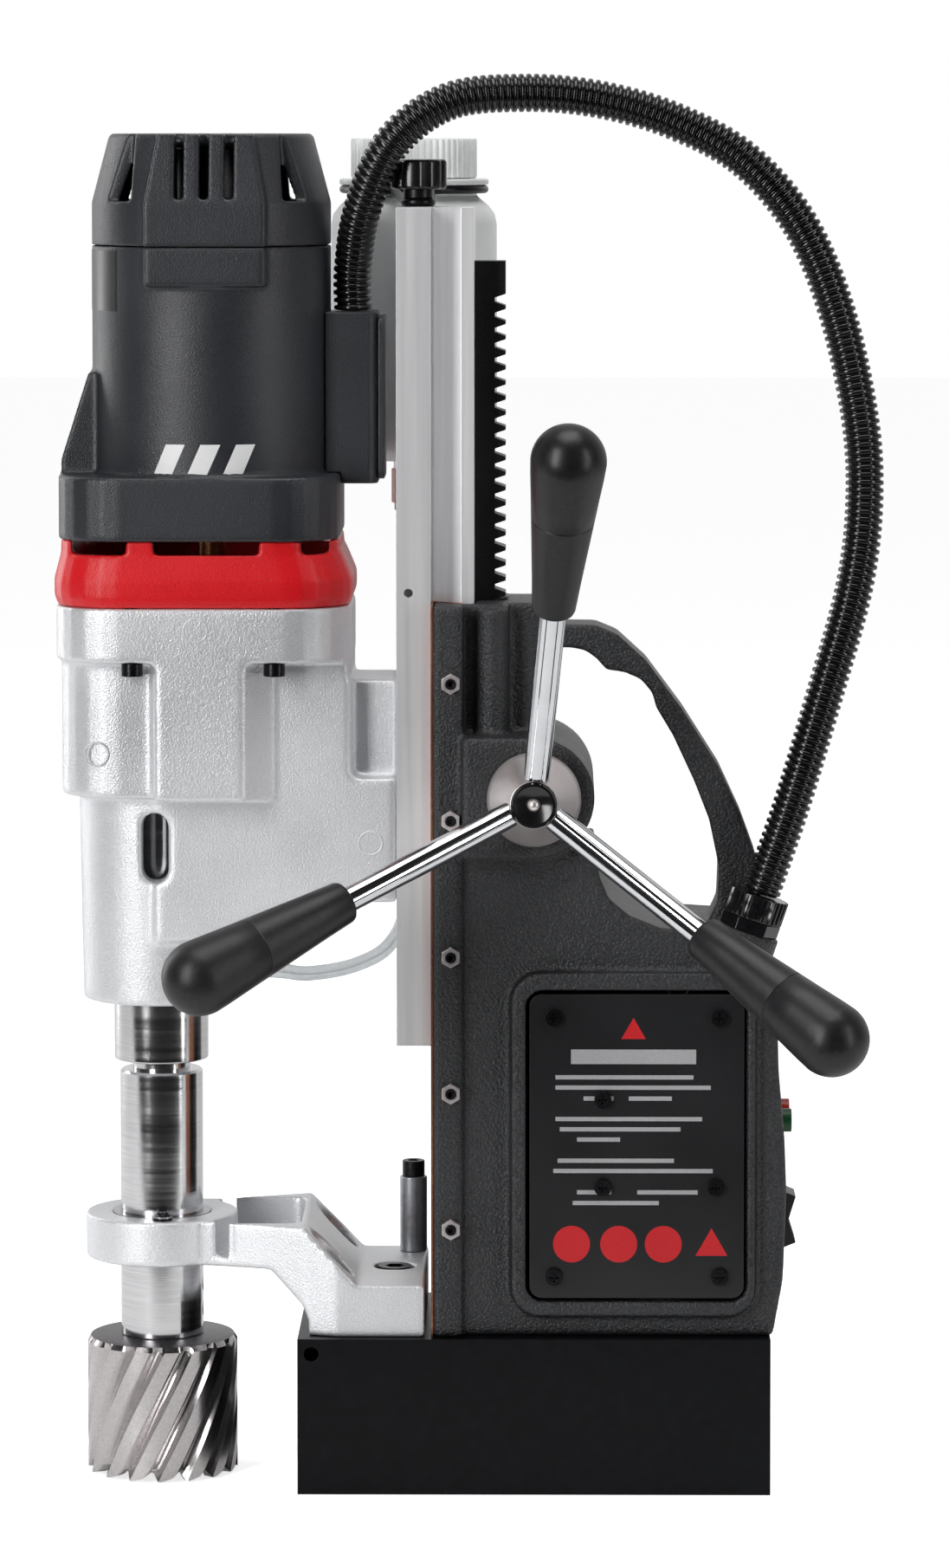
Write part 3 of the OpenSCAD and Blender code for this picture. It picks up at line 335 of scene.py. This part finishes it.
world = bpy.data.worlds.new("studio")
scene.world = world
world.use_nodes = True
sky = world.node_tree
back = sky.nodes["Background"]
rays = add_node(sky, "LightPath")
way = add_node(sky, "TexCoord")
split = add_node(sky, "SeparateXYZ")
sky.links.new(way.outputs["Generated"], split.inputs["Vector"])
depth = add_node(sky, "MapRange")
depth.inputs["From Min"].default_value = -0.1
depth.inputs["From Max"].default_value = 0.9
depth.inputs["To Min"].default_value = 0.02
depth.inputs["To Max"].default_value = 0.8
sky.links.new(split.outputs["Y"], depth.inputs["Value"])
brighter = add_node(sky, "Math", operation="MAXIMUM")
sky.links.new(depth.outputs["Result"], brighter.inputs[0])
sky.links.new(rays.outputs["Is Camera Ray"], brighter.inputs[1])
sky.links.new(brighter.outputs[0], back.inputs["Strength"])
back.inputs["Color"].default_value = (1, 1, 1, 1)

for name, at, width, height, watts in [
        ("key_box", (-1.35, -1.75, 0.95), 0.55, 1.9, 34),
        ("right_strip", (1.65, -1.15, 0.75), 0.22, 1.8, 10),
        ("left_strip", (-1.5, 1.1, 0.7), 0.3, 1.8, 9),
        ("top_box", (0.1, -0.3, 2.3), 1.4, 1.2, 20)]:
    light = bpy.data.lights.new(name, "AREA")
    light.shape = "RECTANGLE"
    light.size = width
    light.size_y = height
    light.energy = watts
    lamp = bpy.data.objects.new(name, light)
    aim = Vector((0, 0, 0.35)) - Vector(at)
    lamp.matrix_world = Matrix.Translation(at) @ aim.to_track_quat("-Z", "Y").to_matrix().to_4x4()
    scene.collection.objects.link(lamp)


# ---- magnet foot ----
# A steel block with a gloss black coat; the coil lies in a groove in the sole under resin.
# Its corners are only just broken, and a tapped hole near the front end takes the guard.
def eased_copy(node, ease, material, slot, steps=2, sharp=28):
    """A merged copy of a plain piece with its crisp corners broken; it stands for that piece."""
    bm = bmesh.new()
    bm.from_mesh(frame["nodes"][node].data)
    bmesh.ops.remove_doubles(bm, verts=bm.verts, dist=0.02 * mm)
    bmesh.ops.dissolve_limit(bm, angle_limit=radians(0.5), verts=bm.verts, edges=bm.edges)
    corners = [e for e in bm.edges
               if len(e.link_faces) == 2 and e.calc_face_angle(0) > radians(sharp)]
    bmesh.ops.bevel(bm, geom=corners, offset=ease * mm, segments=steps, profile=0.5,
                    affect="EDGES", material=-1, clamp_overlap=True)
    piece = add_piece(node + "_finished", bm, material, sharp=40)
    even = piece.modifiers.new("even", "WEIGHTED_NORMAL")
    even.keep_sharp = True
    even.weight = 100
    applied(piece)
    return fit(piece, frame["nodes"][node]["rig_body"], slot, node)


def finish_node(material, *nodes):
    """Puts a material on plain pieces whose shape is already right."""
    for node in nodes:
        mesh = frame["nodes"][node].data
        mesh.materials.clear()
        mesh.materials.append(material)


magnet_coat = grained("magnet_coat", (0.004, 0.0045, 0.0055), (0.002, 0.002, 0.003), 160, 0.01,
                      (0.26, 0.34), Specular_IOR_Level=0.15)
eased_copy("magnet_body", 0.8, magnet_coat, "magnet_paint")
finish_node(grained("copper_coil", (0.55, 0.22, 0.10), (0.36, 0.13, 0.06), 900, 0.2, (0.3, 0.45),
                    Metallic=1.0), "magnet_coil")
finish_node(grained("cast_resin", (0.035, 0.035, 0.037), (0.018, 0.018, 0.02), 90, 0.1,
                    (0.35, 0.55)), "magnet_potting")


# ---- stand housing ----
# One aluminium casting with a coarse charcoal powder coat, bolted down on the magnet.
# All its edges are soft, as cast, and the small round marks are from the mould's pins.
def cast_copy(node, voxel, relax, material, slot, most=170000):
    """A copy of a plain piece, softened like a casting; it stands for that piece."""
    bm = bmesh.new()
    bm.from_mesh(frame["nodes"][node].data)
    bmesh.ops.remove_doubles(bm, verts=bm.verts, dist=0.02 * mm)
    piece = add_piece(node + "_cast", bm, material)
    skin = piece.modifiers.new("skin", "REMESH")
    skin.mode = "VOXEL"
    skin.voxel_size = voxel * mm
    soften = piece.modifiers.new("soften", "SMOOTH")
    soften.factor = 0.5
    soften.iterations = relax
    applied(piece)
    count = sum(len(p.vertices) - 2 for p in piece.data.polygons)
    if count > most:
        thin = piece.modifiers.new("thin", "DECIMATE")
        thin.ratio = most / count
        applied(piece)
    piece.data.materials.clear()
    piece.data.materials.append(material)
    piece.data.shade_smooth()
    return fit(piece, frame["nodes"][node]["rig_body"], slot, node)


powder_coat = grained("powder_coat", (0.032, 0.033, 0.036), (0.008, 0.0085, 0.010), 800, 0.8,
                      (0.36, 0.50), Specular_IOR_Level=0.5)
cast_copy("stand_housing", 1.4, 4, powder_coat, "stand_paint")


def join_shape(whole, part):
    """Adds a finished shape to the whole and lets go of it."""
    mesh = bpy.data.meshes.new("part")
    part.to_mesh(mesh)
    part.free()
    whole.from_mesh(mesh)
    bpy.data.meshes.remove(mesh)


def mould_marks(name, spots, radius, material, body, slot):
    """Fine raised rings on a casting's near side, at (x, face y, z) in mm."""
    marks = bmesh.new()
    for x, y, z in spots:
        ring = turned([(radius - 0.45, -0.4), (radius - 0.4, 0.12), (radius, 0.3),
                       (radius + 0.4, 0.12), (radius + 0.45, -0.4)], at=(x, y, z),
                      axis=(0, -1, 0), steps=28)
        join_shape(marks, ring)
    return fit(add_piece(name, marks, material, sharp=180), body, slot)


mould_marks("housing_marks", [(-38.6, -50, 405), (-38.6, -50, 391), (-38.6, -50, 324),
                              (14, -46, 291), (30, -46, 252.5), (67, -46, 237)],
            5, powder_coat, "stand", "stand_paint")

# ---- bolts and small black screws ----
# Black oxide socket screws and small cross screws that hold the castings and the cover.
# Their oiled finish is dark, with a little sheen on the rims.
black_oxide = grained("black_oxide", (0.030, 0.030, 0.033), (0.012, 0.012, 0.014), 700, 0.05,
                      (0.24, 0.4), Metallic=0.85)
for screws, ease in [("foot_bolts", 0.5), ("cover_screws", 0.25), ("slide_screws", 0.4),
                     ("gearbox_screws", 0.4), ("stop_post_screw", 0.4), ("arbor_screws", 0.3),
                     ("gib_screws", 0.3)]:
    eased_copy(screws, ease, black_oxide, "black_steel")

# ---- electronics cover ----
# A black steel sheet, laser cut and held by seven small cross screws.
# Its print is generic: a red triangle, plain grey bars for lines, three red discs and a triangle.
cover_black = grained("cover_black", (0.016, 0.0165, 0.018), (0.009, 0.009, 0.010), 1500, 0.015,
                      (0.26, 0.36), Specular_IOR_Level=0.5)
eased_copy("cover_plate", 0.5, cover_black, "cover_print")
print_grey = grained("print_grey", (0.42, 0.42, 0.43), (0.30, 0.30, 0.31), 2600, 0.01, (0.4, 0.5))
print_red = grained("print_red", (0.62, 0.015, 0.02), (0.46, 0.01, 0.015), 2600, 0.01, (0.35, 0.45))


def printed(name, shapes, material):
    """Thin ink on the cover, from (middle x, middle z, half width, half height, corners) in mm."""
    ink = bmesh.new()
    for x, z, half_w, half_h, corners in shapes:
        disc = bmesh.ops.create_circle(ink, cap_ends=True, radius=1, segments=corners)
        turn = Matrix.Rotation(pi / 4 if corners == 4 else 0, 4, "Z")
        grow = 2 ** 0.5 if corners == 4 else 1
        place = (Matrix.Scale(mm, 4) @ Matrix.Translation((x, -52.06, z))
                 @ Matrix.Diagonal((half_w * grow, 1, half_h * grow, 1))
                 @ Matrix.Rotation(pi / 2, 4, "X") @ turn)
        bmesh.ops.transform(ink, matrix=place, verts=disc["verts"])
    return fit(add_piece(name, ink, material), "stand", "cover_print")


lines = [(42, 195.4, 32), (46, 190.6, 36), (30, 185.5, 7), (54, 185.5, 10), (44, 175.9, 34),
         (40, 171.1, 28), (30, 166.3, 10), (38, 156.4, 27), (46, 151.6, 37), (28, 141.6, 8),
         (62, 141.6, 14), (38, 136.6, 20)]
printed("cover_heading", [(46.2, 205, 29, 3.4, 4)], print_grey)
printed("cover_lines", [(x, z, half, 1.0, 4) for x, z, half in lines], print_grey)
printed("cover_signs", [(46.2, 216.6, 6.6, 6.6, 3), (17.5, 117.3, 8.6, 8.6, 40),
                        (39.4, 117.3, 8.6, 8.6, 40), (60.1, 117.3, 8.6, 8.6, 40),
                        (82.5, 116.2, 8.6, 8.6, 3)], print_red)

# ---- gib ----
# A brass strip fills the near side of the dovetail; five grub screws with zinc nuts press on it.
brass = grained("gib_brass", (0.50, 0.22, 0.12), (0.32, 0.11, 0.07), 400, 0.08, (0.3, 0.5),
                Metallic=0.9)
finish_node(brass, "gib_strip")
zinc = grained("zinc_plate", (0.80, 0.74, 0.72), (0.58, 0.54, 0.53), 500, 0.05, (0.25, 0.4),
               Metallic=0.7)
eased_copy("gib_nuts", 0.5, zinc, "zinc_steel")

# ---- arbor bracket ----
# A bright aluminium casting, shot blasted, bolted on the magnet; its ring steadies the arbor.
# A bronze bush lines the ring, and a post beside it stops the slide.
cast_silver = grained("cast_silver", (0.84, 0.85, 0.87), (0.68, 0.69, 0.71), 1300, 0.24,
                      (0.34, 0.46), Metallic=0.55)
cast_copy("support_bracket", 1.1, 7, cast_silver, "cast_aluminium")
bronze = grained("bush_bronze", (0.62, 0.48, 0.30), (0.45, 0.32, 0.18), 500, 0.05, (0.2, 0.4),
                 Metallic=1.0)
finish_node(bronze, "pinion_bushings")
bush_steel = grained("bush_steel", (0.55, 0.55, 0.57), (0.38, 0.38, 0.40), 700, 0.03, (0.25, 0.4),
                     Metallic=0.9)
finish_node(bush_steel, "bracket_bushing")
ring_screw = turned([(0, 123), (4.7, 123), (4.7, 124.6), (3.8, 125.7), (2, 126), (1.7, 125),
                     (0, 125)], at=(-174.2, -27, 0), steps=32)
fit(add_piece("ring_screw", ring_screw, black_oxide), "stand", "black_steel")
post_grey = grained("post_grey", (0.42, 0.43, 0.46), (0.30, 0.31, 0.33), 400, 0.02, (0.3, 0.42),
                    Metallic=0.8)
eased_copy("stop_post", 0.6, post_grey, "black_steel")

# ---- rear controls ----
# A black moulded plate carries the green and red push buttons and the magnet's rocker.
moulded_black = grained("moulded_black", (0.020, 0.021, 0.023), (0.011, 0.011, 0.013), 1600, 0.08,
                        (0.35, 0.5))
eased_copy("rear_panel", 0.6, moulded_black, "gloss_black_plastic")
eased_copy("magnet_switch", 0.8, moulded_black, "gloss_black_plastic", sharp=20)
green = grained("green_button", (0.01, 0.10, 0.03), (0.006, 0.06, 0.02), 900, 0.02, (0.35, 0.5))
eased_copy("start_button", 0.6, green, "green_button")
red = grained("red_button", (0.55, 0.03, 0.02), (0.4, 0.02, 0.015), 900, 0.02, (0.25, 0.4))
eased_copy("stop_button", 0.6, red, "red_button")
eased_copy("mains_gland", 0.5, gloss_black, "gloss_black_plastic")
finish_node(grained("board_green", (0.04, 0.16, 0.07), (0.02, 0.10, 0.04), 300, 0.1, (0.3, 0.5)),
            "control_board")


# ---- conduit gland ----
# A hexagon screwed into the stand, and a nut with fine ribs that grips the conduit.
# Both are moulded in gloss black nylon and lean back with the conduit.
def drawn_up(outline, z0, z1, ease, steps):
    """Draws a flat outline up from z0 to z1, in mm, and eases its two rims."""
    base = outline.faces[:]
    bmesh.ops.translate(outline, verts=outline.verts, vec=(0, 0, z0))
    lifted = bmesh.ops.extrude_face_region(outline, geom=base)
    top = [g for g in lifted["geom"] if isinstance(g, bmesh.types.BMVert)]
    bmesh.ops.translate(outline, verts=top, vec=(0, 0, z1 - z0))
    bmesh.ops.recalc_face_normals(outline, faces=outline.faces)
    rims = [e for e in outline.edges if abs(e.verts[0].co.z - e.verts[1].co.z) < 1e-6]
    bmesh.ops.bevel(outline, geom=rims, offset=ease, segments=steps, profile=0.5, affect="EDGES",
                    material=-1, clamp_overlap=True)


def ribbed_nut(name, radius, depth, ribs, z0, z1, ease, place, material):
    """A short round nut with upright ribs, made of one ring of points drawn up to its top."""
    nut = bmesh.new()
    ring = bmesh.ops.create_circle(nut, cap_ends=True, radius=radius, segments=ribs * 4)["verts"]
    for number, v in enumerate(ring):
        if number % 4 < 2:
            v.co *= (radius - depth) / radius
    drawn_up(nut, z0, z1, ease, 2)
    nut.transform(Matrix.Scale(mm, 4) @ place)
    return add_piece(name, nut, material, sharp=30)


gland_place = Matrix.Translation((96, -31, 250)) @ Matrix.Rotation(radians(18.7), 4, "Y")
fit(ribbed_nut("gland_ribbed_nut", 14, 0.8, 30, 18.2, 29.6, 0.5, gland_place, gloss_black),
    "stand", "gloss_black_plastic", "gland_nut")
eased_copy("gland_body", 0.5, gloss_black, "gloss_black_plastic")

# ---- slide and rack ----
# The slide is a ground aluminium dovetail bar; its faces are satin with faint lengthwise lines.
# The rack is a black steel bar with machined teeth, screwed into the slide's back.
satin_bar = grained("satin_bar", (0.93, 0.93, 0.94), (0.84, 0.84, 0.86), 500, 0.006, (0.32, 0.42),
                    cloud=160, stretch=(1, 1, 0.02), Metallic=0.5)
eased_copy("slide", 0.6, satin_bar, "ground_steel")
rack_black = grained("rack_black", (0.020, 0.020, 0.022), (0.010, 0.010, 0.011), 900, 0.05,
                     (0.32, 0.46), Metallic=0.5)
eased_copy("rack", 0.3, rack_black, "black_steel")

# ---- gearbox ----
# A pressure die casting in bright aluminium, shot blasted, with generous fillets everywhere.
# Black socket screws come up from under its flange.
cast_copy("gearbox_housing", 1.3, 8, cast_silver, "cast_aluminium")
mould_marks("gearbox_marks", [(-156.2, -58, 403.5), (-203, -46, 345), (-76, -40, 303)], 5.5,
            cast_silver, "carriage", "cast_aluminium")
finish_node(brass, "hose_inlet")

# ---- red collar ----
# A red painted ring between gearbox and motor, with air windows under the motor's edge.
red_coat = grained("red_coat", (0.78, 0.012, 0.018), (0.62, 0.008, 0.013), 1300, 0.14, (0.28, 0.40),
                   Specular_IOR_Level=0.4)
cast_copy("air_collar", 1.2, 5, red_coat, "red_paint")

# ---- motor ----
# Two moulded shells of dark grey glass-filled nylon with a fine grain, screwed end to end.
# The cap's panels lean in, with air slots at their middle and pockets at the corners.
motor_grey = grained("motor_grey", (0.030, 0.032, 0.038), (0.015, 0.0165, 0.020), 1500, 0.20,
                     (0.32, 0.42), Specular_IOR_Level=0.55)
cast_copy("motor_housing", 1.1, 4, motor_grey, "motor_plastic")
cast_copy("motor_cap", 0.9, 3, motor_grey, "motor_plastic")
motor_x = -151.4


def wrapped(name, patches, radius, material, body, slot):
    """Thin patches laid round the motor; each is (x-run, z, half run, half height, lean) in mm."""
    skin = bmesh.new()
    for run, z, half_run, half_z, lean in patches:
        net = bmesh.ops.create_grid(skin, x_segments=16, y_segments=2, size=1)["verts"]
        for v in net:
            along = run + v.co.x * half_run + v.co.y * lean
            v.co = (motor_x + radius * sin(along / radius), -radius * cos(along / radius),
                    z + v.co.y * half_z)
    skin.transform(Matrix.Scale(mm, 4))
    bmesh.ops.recalc_face_normals(skin, faces=skin.faces)
    skin.normal_update()
    for face in skin.faces:
        outward = face.calc_center_median() - Vector((motor_x * mm, 0, 0))
        outward.z = 0
        if face.normal.dot(outward) < 0:
            face.normal_flip()
    return fit(add_piece(name, skin, material, sharp=180), body, slot)


white_print = grained("white_print", (0.88, 0.88, 0.88), (0.80, 0.80, 0.80), 2600, 0.01,
                      (0.35, 0.45))
wrapped("motor_bars", [(run, 481.6, 4.6, 7.6, 3.4) for run in (-17.5, -1.0, 15.5)], 56.12,
        white_print, "carriage", "motor_plastic")
wrapped("motor_plate", [(-67, 564, 19, 14, 0)], 56.14, cover_black, "carriage", "motor_plastic")
copper = grained("winding_copper", (0.55, 0.25, 0.12), (0.38, 0.15, 0.08), 900, 0.2, (0.3, 0.5),
                 Metallic=0.8)
finish_node(copper, "motor_field", "armature")
finish_node(grained("brush_carbon", (0.03, 0.03, 0.03), (0.015, 0.015, 0.015), 900, 0.05,
                    (0.5, 0.7)), "brushes")
bearing_steel = grained("bearing_steel", (0.60, 0.61, 0.63), (0.45, 0.46, 0.48), 300, 0.02,
                        (0.15, 0.3), Metallic=1.0)
finish_node(bearing_steel, "motor_bearings", "spindle_bearings")
gear_steel = grained("gear_steel", (0.38, 0.39, 0.42), (0.26, 0.27, 0.30), 500, 0.04, (0.25, 0.4),
                     Metallic=1.0)
finish_node(gear_steel, "spindle_gear", "idler_gear", "feed_pinion")
finish_node(moulded_black, "cooling_fan")

# ---- terminal box ----
# A moulded box on the motor's back with a thin screwed lid on the slide side.
# It has the same dark grey nylon as the motor, and the conduit enters through its top.
eased_copy("junction_box", 1.6, motor_grey, "motor_plastic", steps=3)
eased_copy("junction_box_cover", 0.6, motor_grey, "motor_plastic")


# ---- bottle and its wire ----
# A blown bottle of milky polythene hangs by its neck in a bent wire, held under a star knob.
# The cap is ribbed for grip and the tap below is a red plastic body with a short lever.
milky = grained("milky_polythene", (0.93, 0.94, 0.94), (0.86, 0.88, 0.88), 60, 0.15, (0.28, 0.42),
                Transmission_Weight=0.12)
bottle_at = (-58.5, 85, 0)
bottle = turned([(8, 470), (10, 470), (10, 474.6), (31, 475), (35, 478.6), (38.4, 482.4),
                 (40, 486.5), (40, 588), (39, 593), (36, 597), (32, 600.4), (30.4, 602),
                 (30.4, 607.2), (35.6, 607.2), (36, 607.8), (36, 609.4), (35.4, 610), (27, 610),
                 (27, 602), (37, 591), (38, 487), (29, 477), (8, 477), (8, 470)],
                at=bottle_at, steps=72)
fit(add_piece("bottle_blown", bottle, milky), "carriage", "clear_plastic", "coolant_bottle")
cap_white = grained("cap_white", (0.92, 0.93, 0.92), (0.84, 0.86, 0.86), 300, 0.05, (0.3, 0.45))
fit(ribbed_nut("bottle_ribbed_cap", 30.4, 0.7, 60, 610.3, 629.4, 1.2,
               Matrix.Translation(bottle_at), cap_white), "cap", "cap_plastic", "bottle_cap")
finish_node(black_oxide, "bottle_holder")
tap_red = grained("tap_red", (0.36, 0.09, 0.06), (0.24, 0.05, 0.04), 600, 0.05, (0.3, 0.45))
eased_copy("coolant_tap", 0.5, tap_red, "red_brass")
eased_copy("tap_lever", 0.5, tap_red, "red_brass")

# ---- star knob ----
# Seven round lobes of black nylon moulded on a steel stud.
# It clamps the bottle's wire to the top of the slide.
star_at = (-54.5, 0, 0)
star = bmesh.new()
star_ring = bmesh.ops.create_circle(star, cap_ends=True, radius=13.4, segments=84)["verts"]
for v in star_ring:
    turn = Vector((v.co.x, v.co.y)).angle_signed(Vector((1, 0)))
    v.co *= 0.885 + 0.115 * min(1, 0.25 + 1.1 * abs(cos(3.5 * turn)))
drawn_up(star, 606, 620, 1.6, 4)
star.transform(Matrix.Scale(mm, 4) @ Matrix.Translation(star_at))
fit(add_piece("star_lobes", star, gloss_black), "star", "knob_plastic", "star_knob")
stem = turned([(0, 580), (4, 580), (4, 601.4), (7, 602.2), (7, 606.5), (0, 606.5)], at=star_at,
              steps=32)
fit(add_piece("star_stem", stem, black_oxide), "star", "black_steel")

# ---- spindle and arbor ----
# Ground steel, turned all over: bright, with faint rings round it from the grinding wheel.
# The arbor slides into the spindle's taper and takes the cutter's shank at its lower end.
spindle_x = -176.2
ground = grained("ground_steel", (0.72, 0.72, 0.73), (0.56, 0.56, 0.57), 2500, 0.004, (0.10, 0.2),
                 cloud=400, stretch=(0.02, 0.02, 1), Metallic=1.0)
eased_copy("spindle", 0.4, ground, "ground_steel")
eased_copy("arbor", 0.4, ground, "ground_steel")
finish_node(ground, "pilot_pin")

# ---- ejector spring ----
# A coil of round spring wire inside the arbor; it pushes the pilot pin and the cut slug out.
# Its upper end rests against the arbor; the coil is built at one length and is not made to shorten
# with the pin.
spring_low, spring_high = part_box("ejector_spring")
spring_turns = 14
round_steps = 24
spring_axis = Vector((spindle_x * mm, 0))
reaches = [(v.co.xy - spring_axis).length for v in frame["nodes"]["ejector_spring"].data.vertices]
wire_r = (max(reaches) - min(reaches)) / 2
coil = bmesh.new()
wire = bmesh.ops.create_circle(coil, cap_ends=False, radius=wire_r, segments=8)["verts"]
bmesh.ops.rotate(coil, verts=wire, cent=(0, 0, 0), matrix=Matrix.Rotation(pi / 2, 3, "X"))
bmesh.ops.translate(coil, verts=wire, vec=(min(reaches) + wire_r, 0, spring_low[2] + wire_r))
rise = (spring_high[2] - spring_low[2] - 2 * wire_r) / (spring_turns * round_steps)
bmesh.ops.spin(coil, geom=coil.verts[:] + coil.edges[:], cent=(0, 0, 0), axis=(0, 0, 1),
               dvec=(0, 0, rise), angle=2 * pi * spring_turns, steps=spring_turns * round_steps)
bmesh.ops.holes_fill(coil, edges=coil.edges, sides=0)
bmesh.ops.recalc_face_normals(coil, faces=coil.faces)
coil.transform(Matrix.Translation((*spring_axis, 0)))
spring = fit(add_piece("spring_coil", coil, gear_steel), "spindle_line", "spring_steel",
             "ejector_spring")
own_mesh(spring)

# ---- cutter ----
# An annular cutter of high speed steel: sixteen flutes wind up its wall between ground lands.
# Each land ends in a tooth below, and the top is a dark face round the shank.
def drawn_on(shape, rim):
    """Draws an open rim on; gives the new rim's points and its edges."""
    grown = bmesh.ops.extrude_edge_only(shape, edges=rim)["geom"]
    return ([g for g in grown if isinstance(g, bmesh.types.BMVert)],
            [g for g in grown if isinstance(g, bmesh.types.BMEdge)])


def rounded_to(points, radius, level=None):
    """Moves a rim's points to that radius, and to that level where there is one."""
    for v in points:
        way_out = Vector((v.co.x, v.co.y, 0)).normalized()
        v.co = way_out * radius + Vector((0, 0, v.co.z if level is None else level))


cutter_r = 35.4
teeth = 16
across = 12
wind = tan(radians(27)) / cutter_r
flutes = bmesh.new()
ring = bmesh.ops.create_circle(flutes, cap_ends=False, radius=cutter_r, segments=teeth * across)
hollow = [0, 0, 0, 0, 0, 0, 0, 0.9, 2.6, 3.4, 2.9, 1.4]
lowest = [0, 0, 0.2, 0.5, 0.9, 1.3, 1.8, 2.6, 3.6, 4.0, 3.4, 1.6]
for number, v in enumerate(ring["verts"]):
    v.co *= 1 - hollow[number % across] / cutter_r
    v.co.z = 1 + lowest[number % across]
bore = edge = flutes.edges[:]
flute_steps = 26
flute_foot = 6.5
flute_rise = 55.5
height = 1
for step in range(flute_steps + 1):
    level = flute_foot + flute_rise * step / flute_steps
    tips, edge = drawn_on(flutes, edge)
    for v in tips:
        v.co.z = level
    bmesh.ops.rotate(flutes, verts=tips, cent=(0, 0, 0),
                     matrix=Matrix.Rotation(wind * (level - height), 3, "Z"))
    height = level
for inset, level in [(1.5, 64.4), (4, 65), (24.5, 65)]:
    tips, edge = drawn_on(flutes, edge)
    rounded_to(tips, cutter_r - inset, level)
for radius, level in [(29.4, None), (29.4, 58), (9.5, 58)]:
    tips, bore = drawn_on(flutes, bore)
    rounded_to(tips, radius, level)
bmesh.ops.recalc_face_normals(flutes, faces=flutes.faces)
flutes.transform(Matrix.Scale(mm, 4) @ Matrix.Translation((spindle_x, 0, 0)))
cutter_steel = grained("cutter_steel", (0.60, 0.57, 0.57), (0.46, 0.44, 0.44), 900, 0.006,
                       (0.16, 0.28), cloud=25, Metallic=1.0)
cutter = add_piece("cutter_fluted", flutes, cutter_steel, sharp=24)
cutter.data.materials.append(grained("cutter_scale", (0.16, 0.15, 0.16), (0.09, 0.085, 0.09),
                                     700, 0.03, (0.3, 0.42), Metallic=0.9))
for face in cutter.data.polygons:
    if face.center.z > 64 * mm and face.normal.z > 0.5:
        face.material_index = 1
fit(cutter, "spindle_line", "cutter_steel", "cutter")

# ---- feed handwheel ----
# A stainless cone on the pinion shaft holds three chromed rods that lean out from the machine.
# A black dished cap with a small steel ball closes its middle.
stainless = grained("turned_stainless", (0.90, 0.84, 0.83), (0.74, 0.68, 0.67), 1800, 0.004,
                    (0.28, 0.38), cloud=30, Metallic=0.8)
hub_at = (0, 0, 326)
hub = turned([(9.9, 66), (9.9, 60.6), (21.2, 60.6), (21.8, 61.4), (21.8, 64), (20.4, 67),
              (11.6, 82), (10.9, 84), (9.4, 84.4), (9.4, 66), (9.9, 66)],
             at=hub_at, axis=(0, -1, 0), steps=96)
fit(add_piece("hub_cone", hub, stainless), "handwheel", "stainless", "feed_hub")
hub_cap = turned([(0, 80), (10.6, 80), (10.6, 85.2), (9.8, 86.6), (8.8, 86.8), (3.2, 84.2),
                  (0, 84)], at=hub_at, axis=(0, -1, 0), steps=72)
fit(add_piece("hub_cap", hub_cap, gloss_black), "handwheel", "gloss_black_plastic")
hub_ball = turned([(0, 83.8)] + [(3 * sin(radians(a)), 84.4 - 2.7 * cos(radians(a)))
                                 for a in range(30, 181, 15)], at=hub_at, axis=(0, -1, 0), steps=32)
fit(add_piece("hub_ball", hub_ball, stainless), "handwheel", "stainless")
chrome = grained("chromed_rod", (0.74, 0.75, 0.77), (0.66, 0.67, 0.69), 60, 0.0, (0.04, 0.10),
                 Metallic=1.0)
finish_node(chrome, "spokes")
soft_black = grained("soft_black_grip", (0.014, 0.014, 0.016), (0.006, 0.006, 0.007), 420, 0.06,
                     (0.34, 0.46), Specular_IOR_Level=0.42)
grips = bmesh.new()
for arm in range(3):
    grip = turned([(6.2, 107.6), (8.6, 107.6), (9.4, 108.2), (9.9, 109.5), (11.2, 125),
                   (12.6, 140), (14.2, 157), (14.25, 157.6), (14.05, 157.9), (14.3, 158.2),
                   (15.4, 170), (16.5, 181)]
                  + [(17 * cos(radians(a)), 188 + 17 * sin(radians(a))) for a in range(0, 91, 6)],
                  steps=56)
    grip.transform(Matrix.Translation((0, -0.072, 0.326))
                   @ Matrix.Rotation(radians(5.5 + 120 * arm), 4, "Y")
                   @ Matrix.Rotation(radians(30), 4, "X"))
    join_shape(grips, grip)
fit(add_piece("grips", grips, soft_black), "handwheel", "knob_plastic", "spoke_knobs")
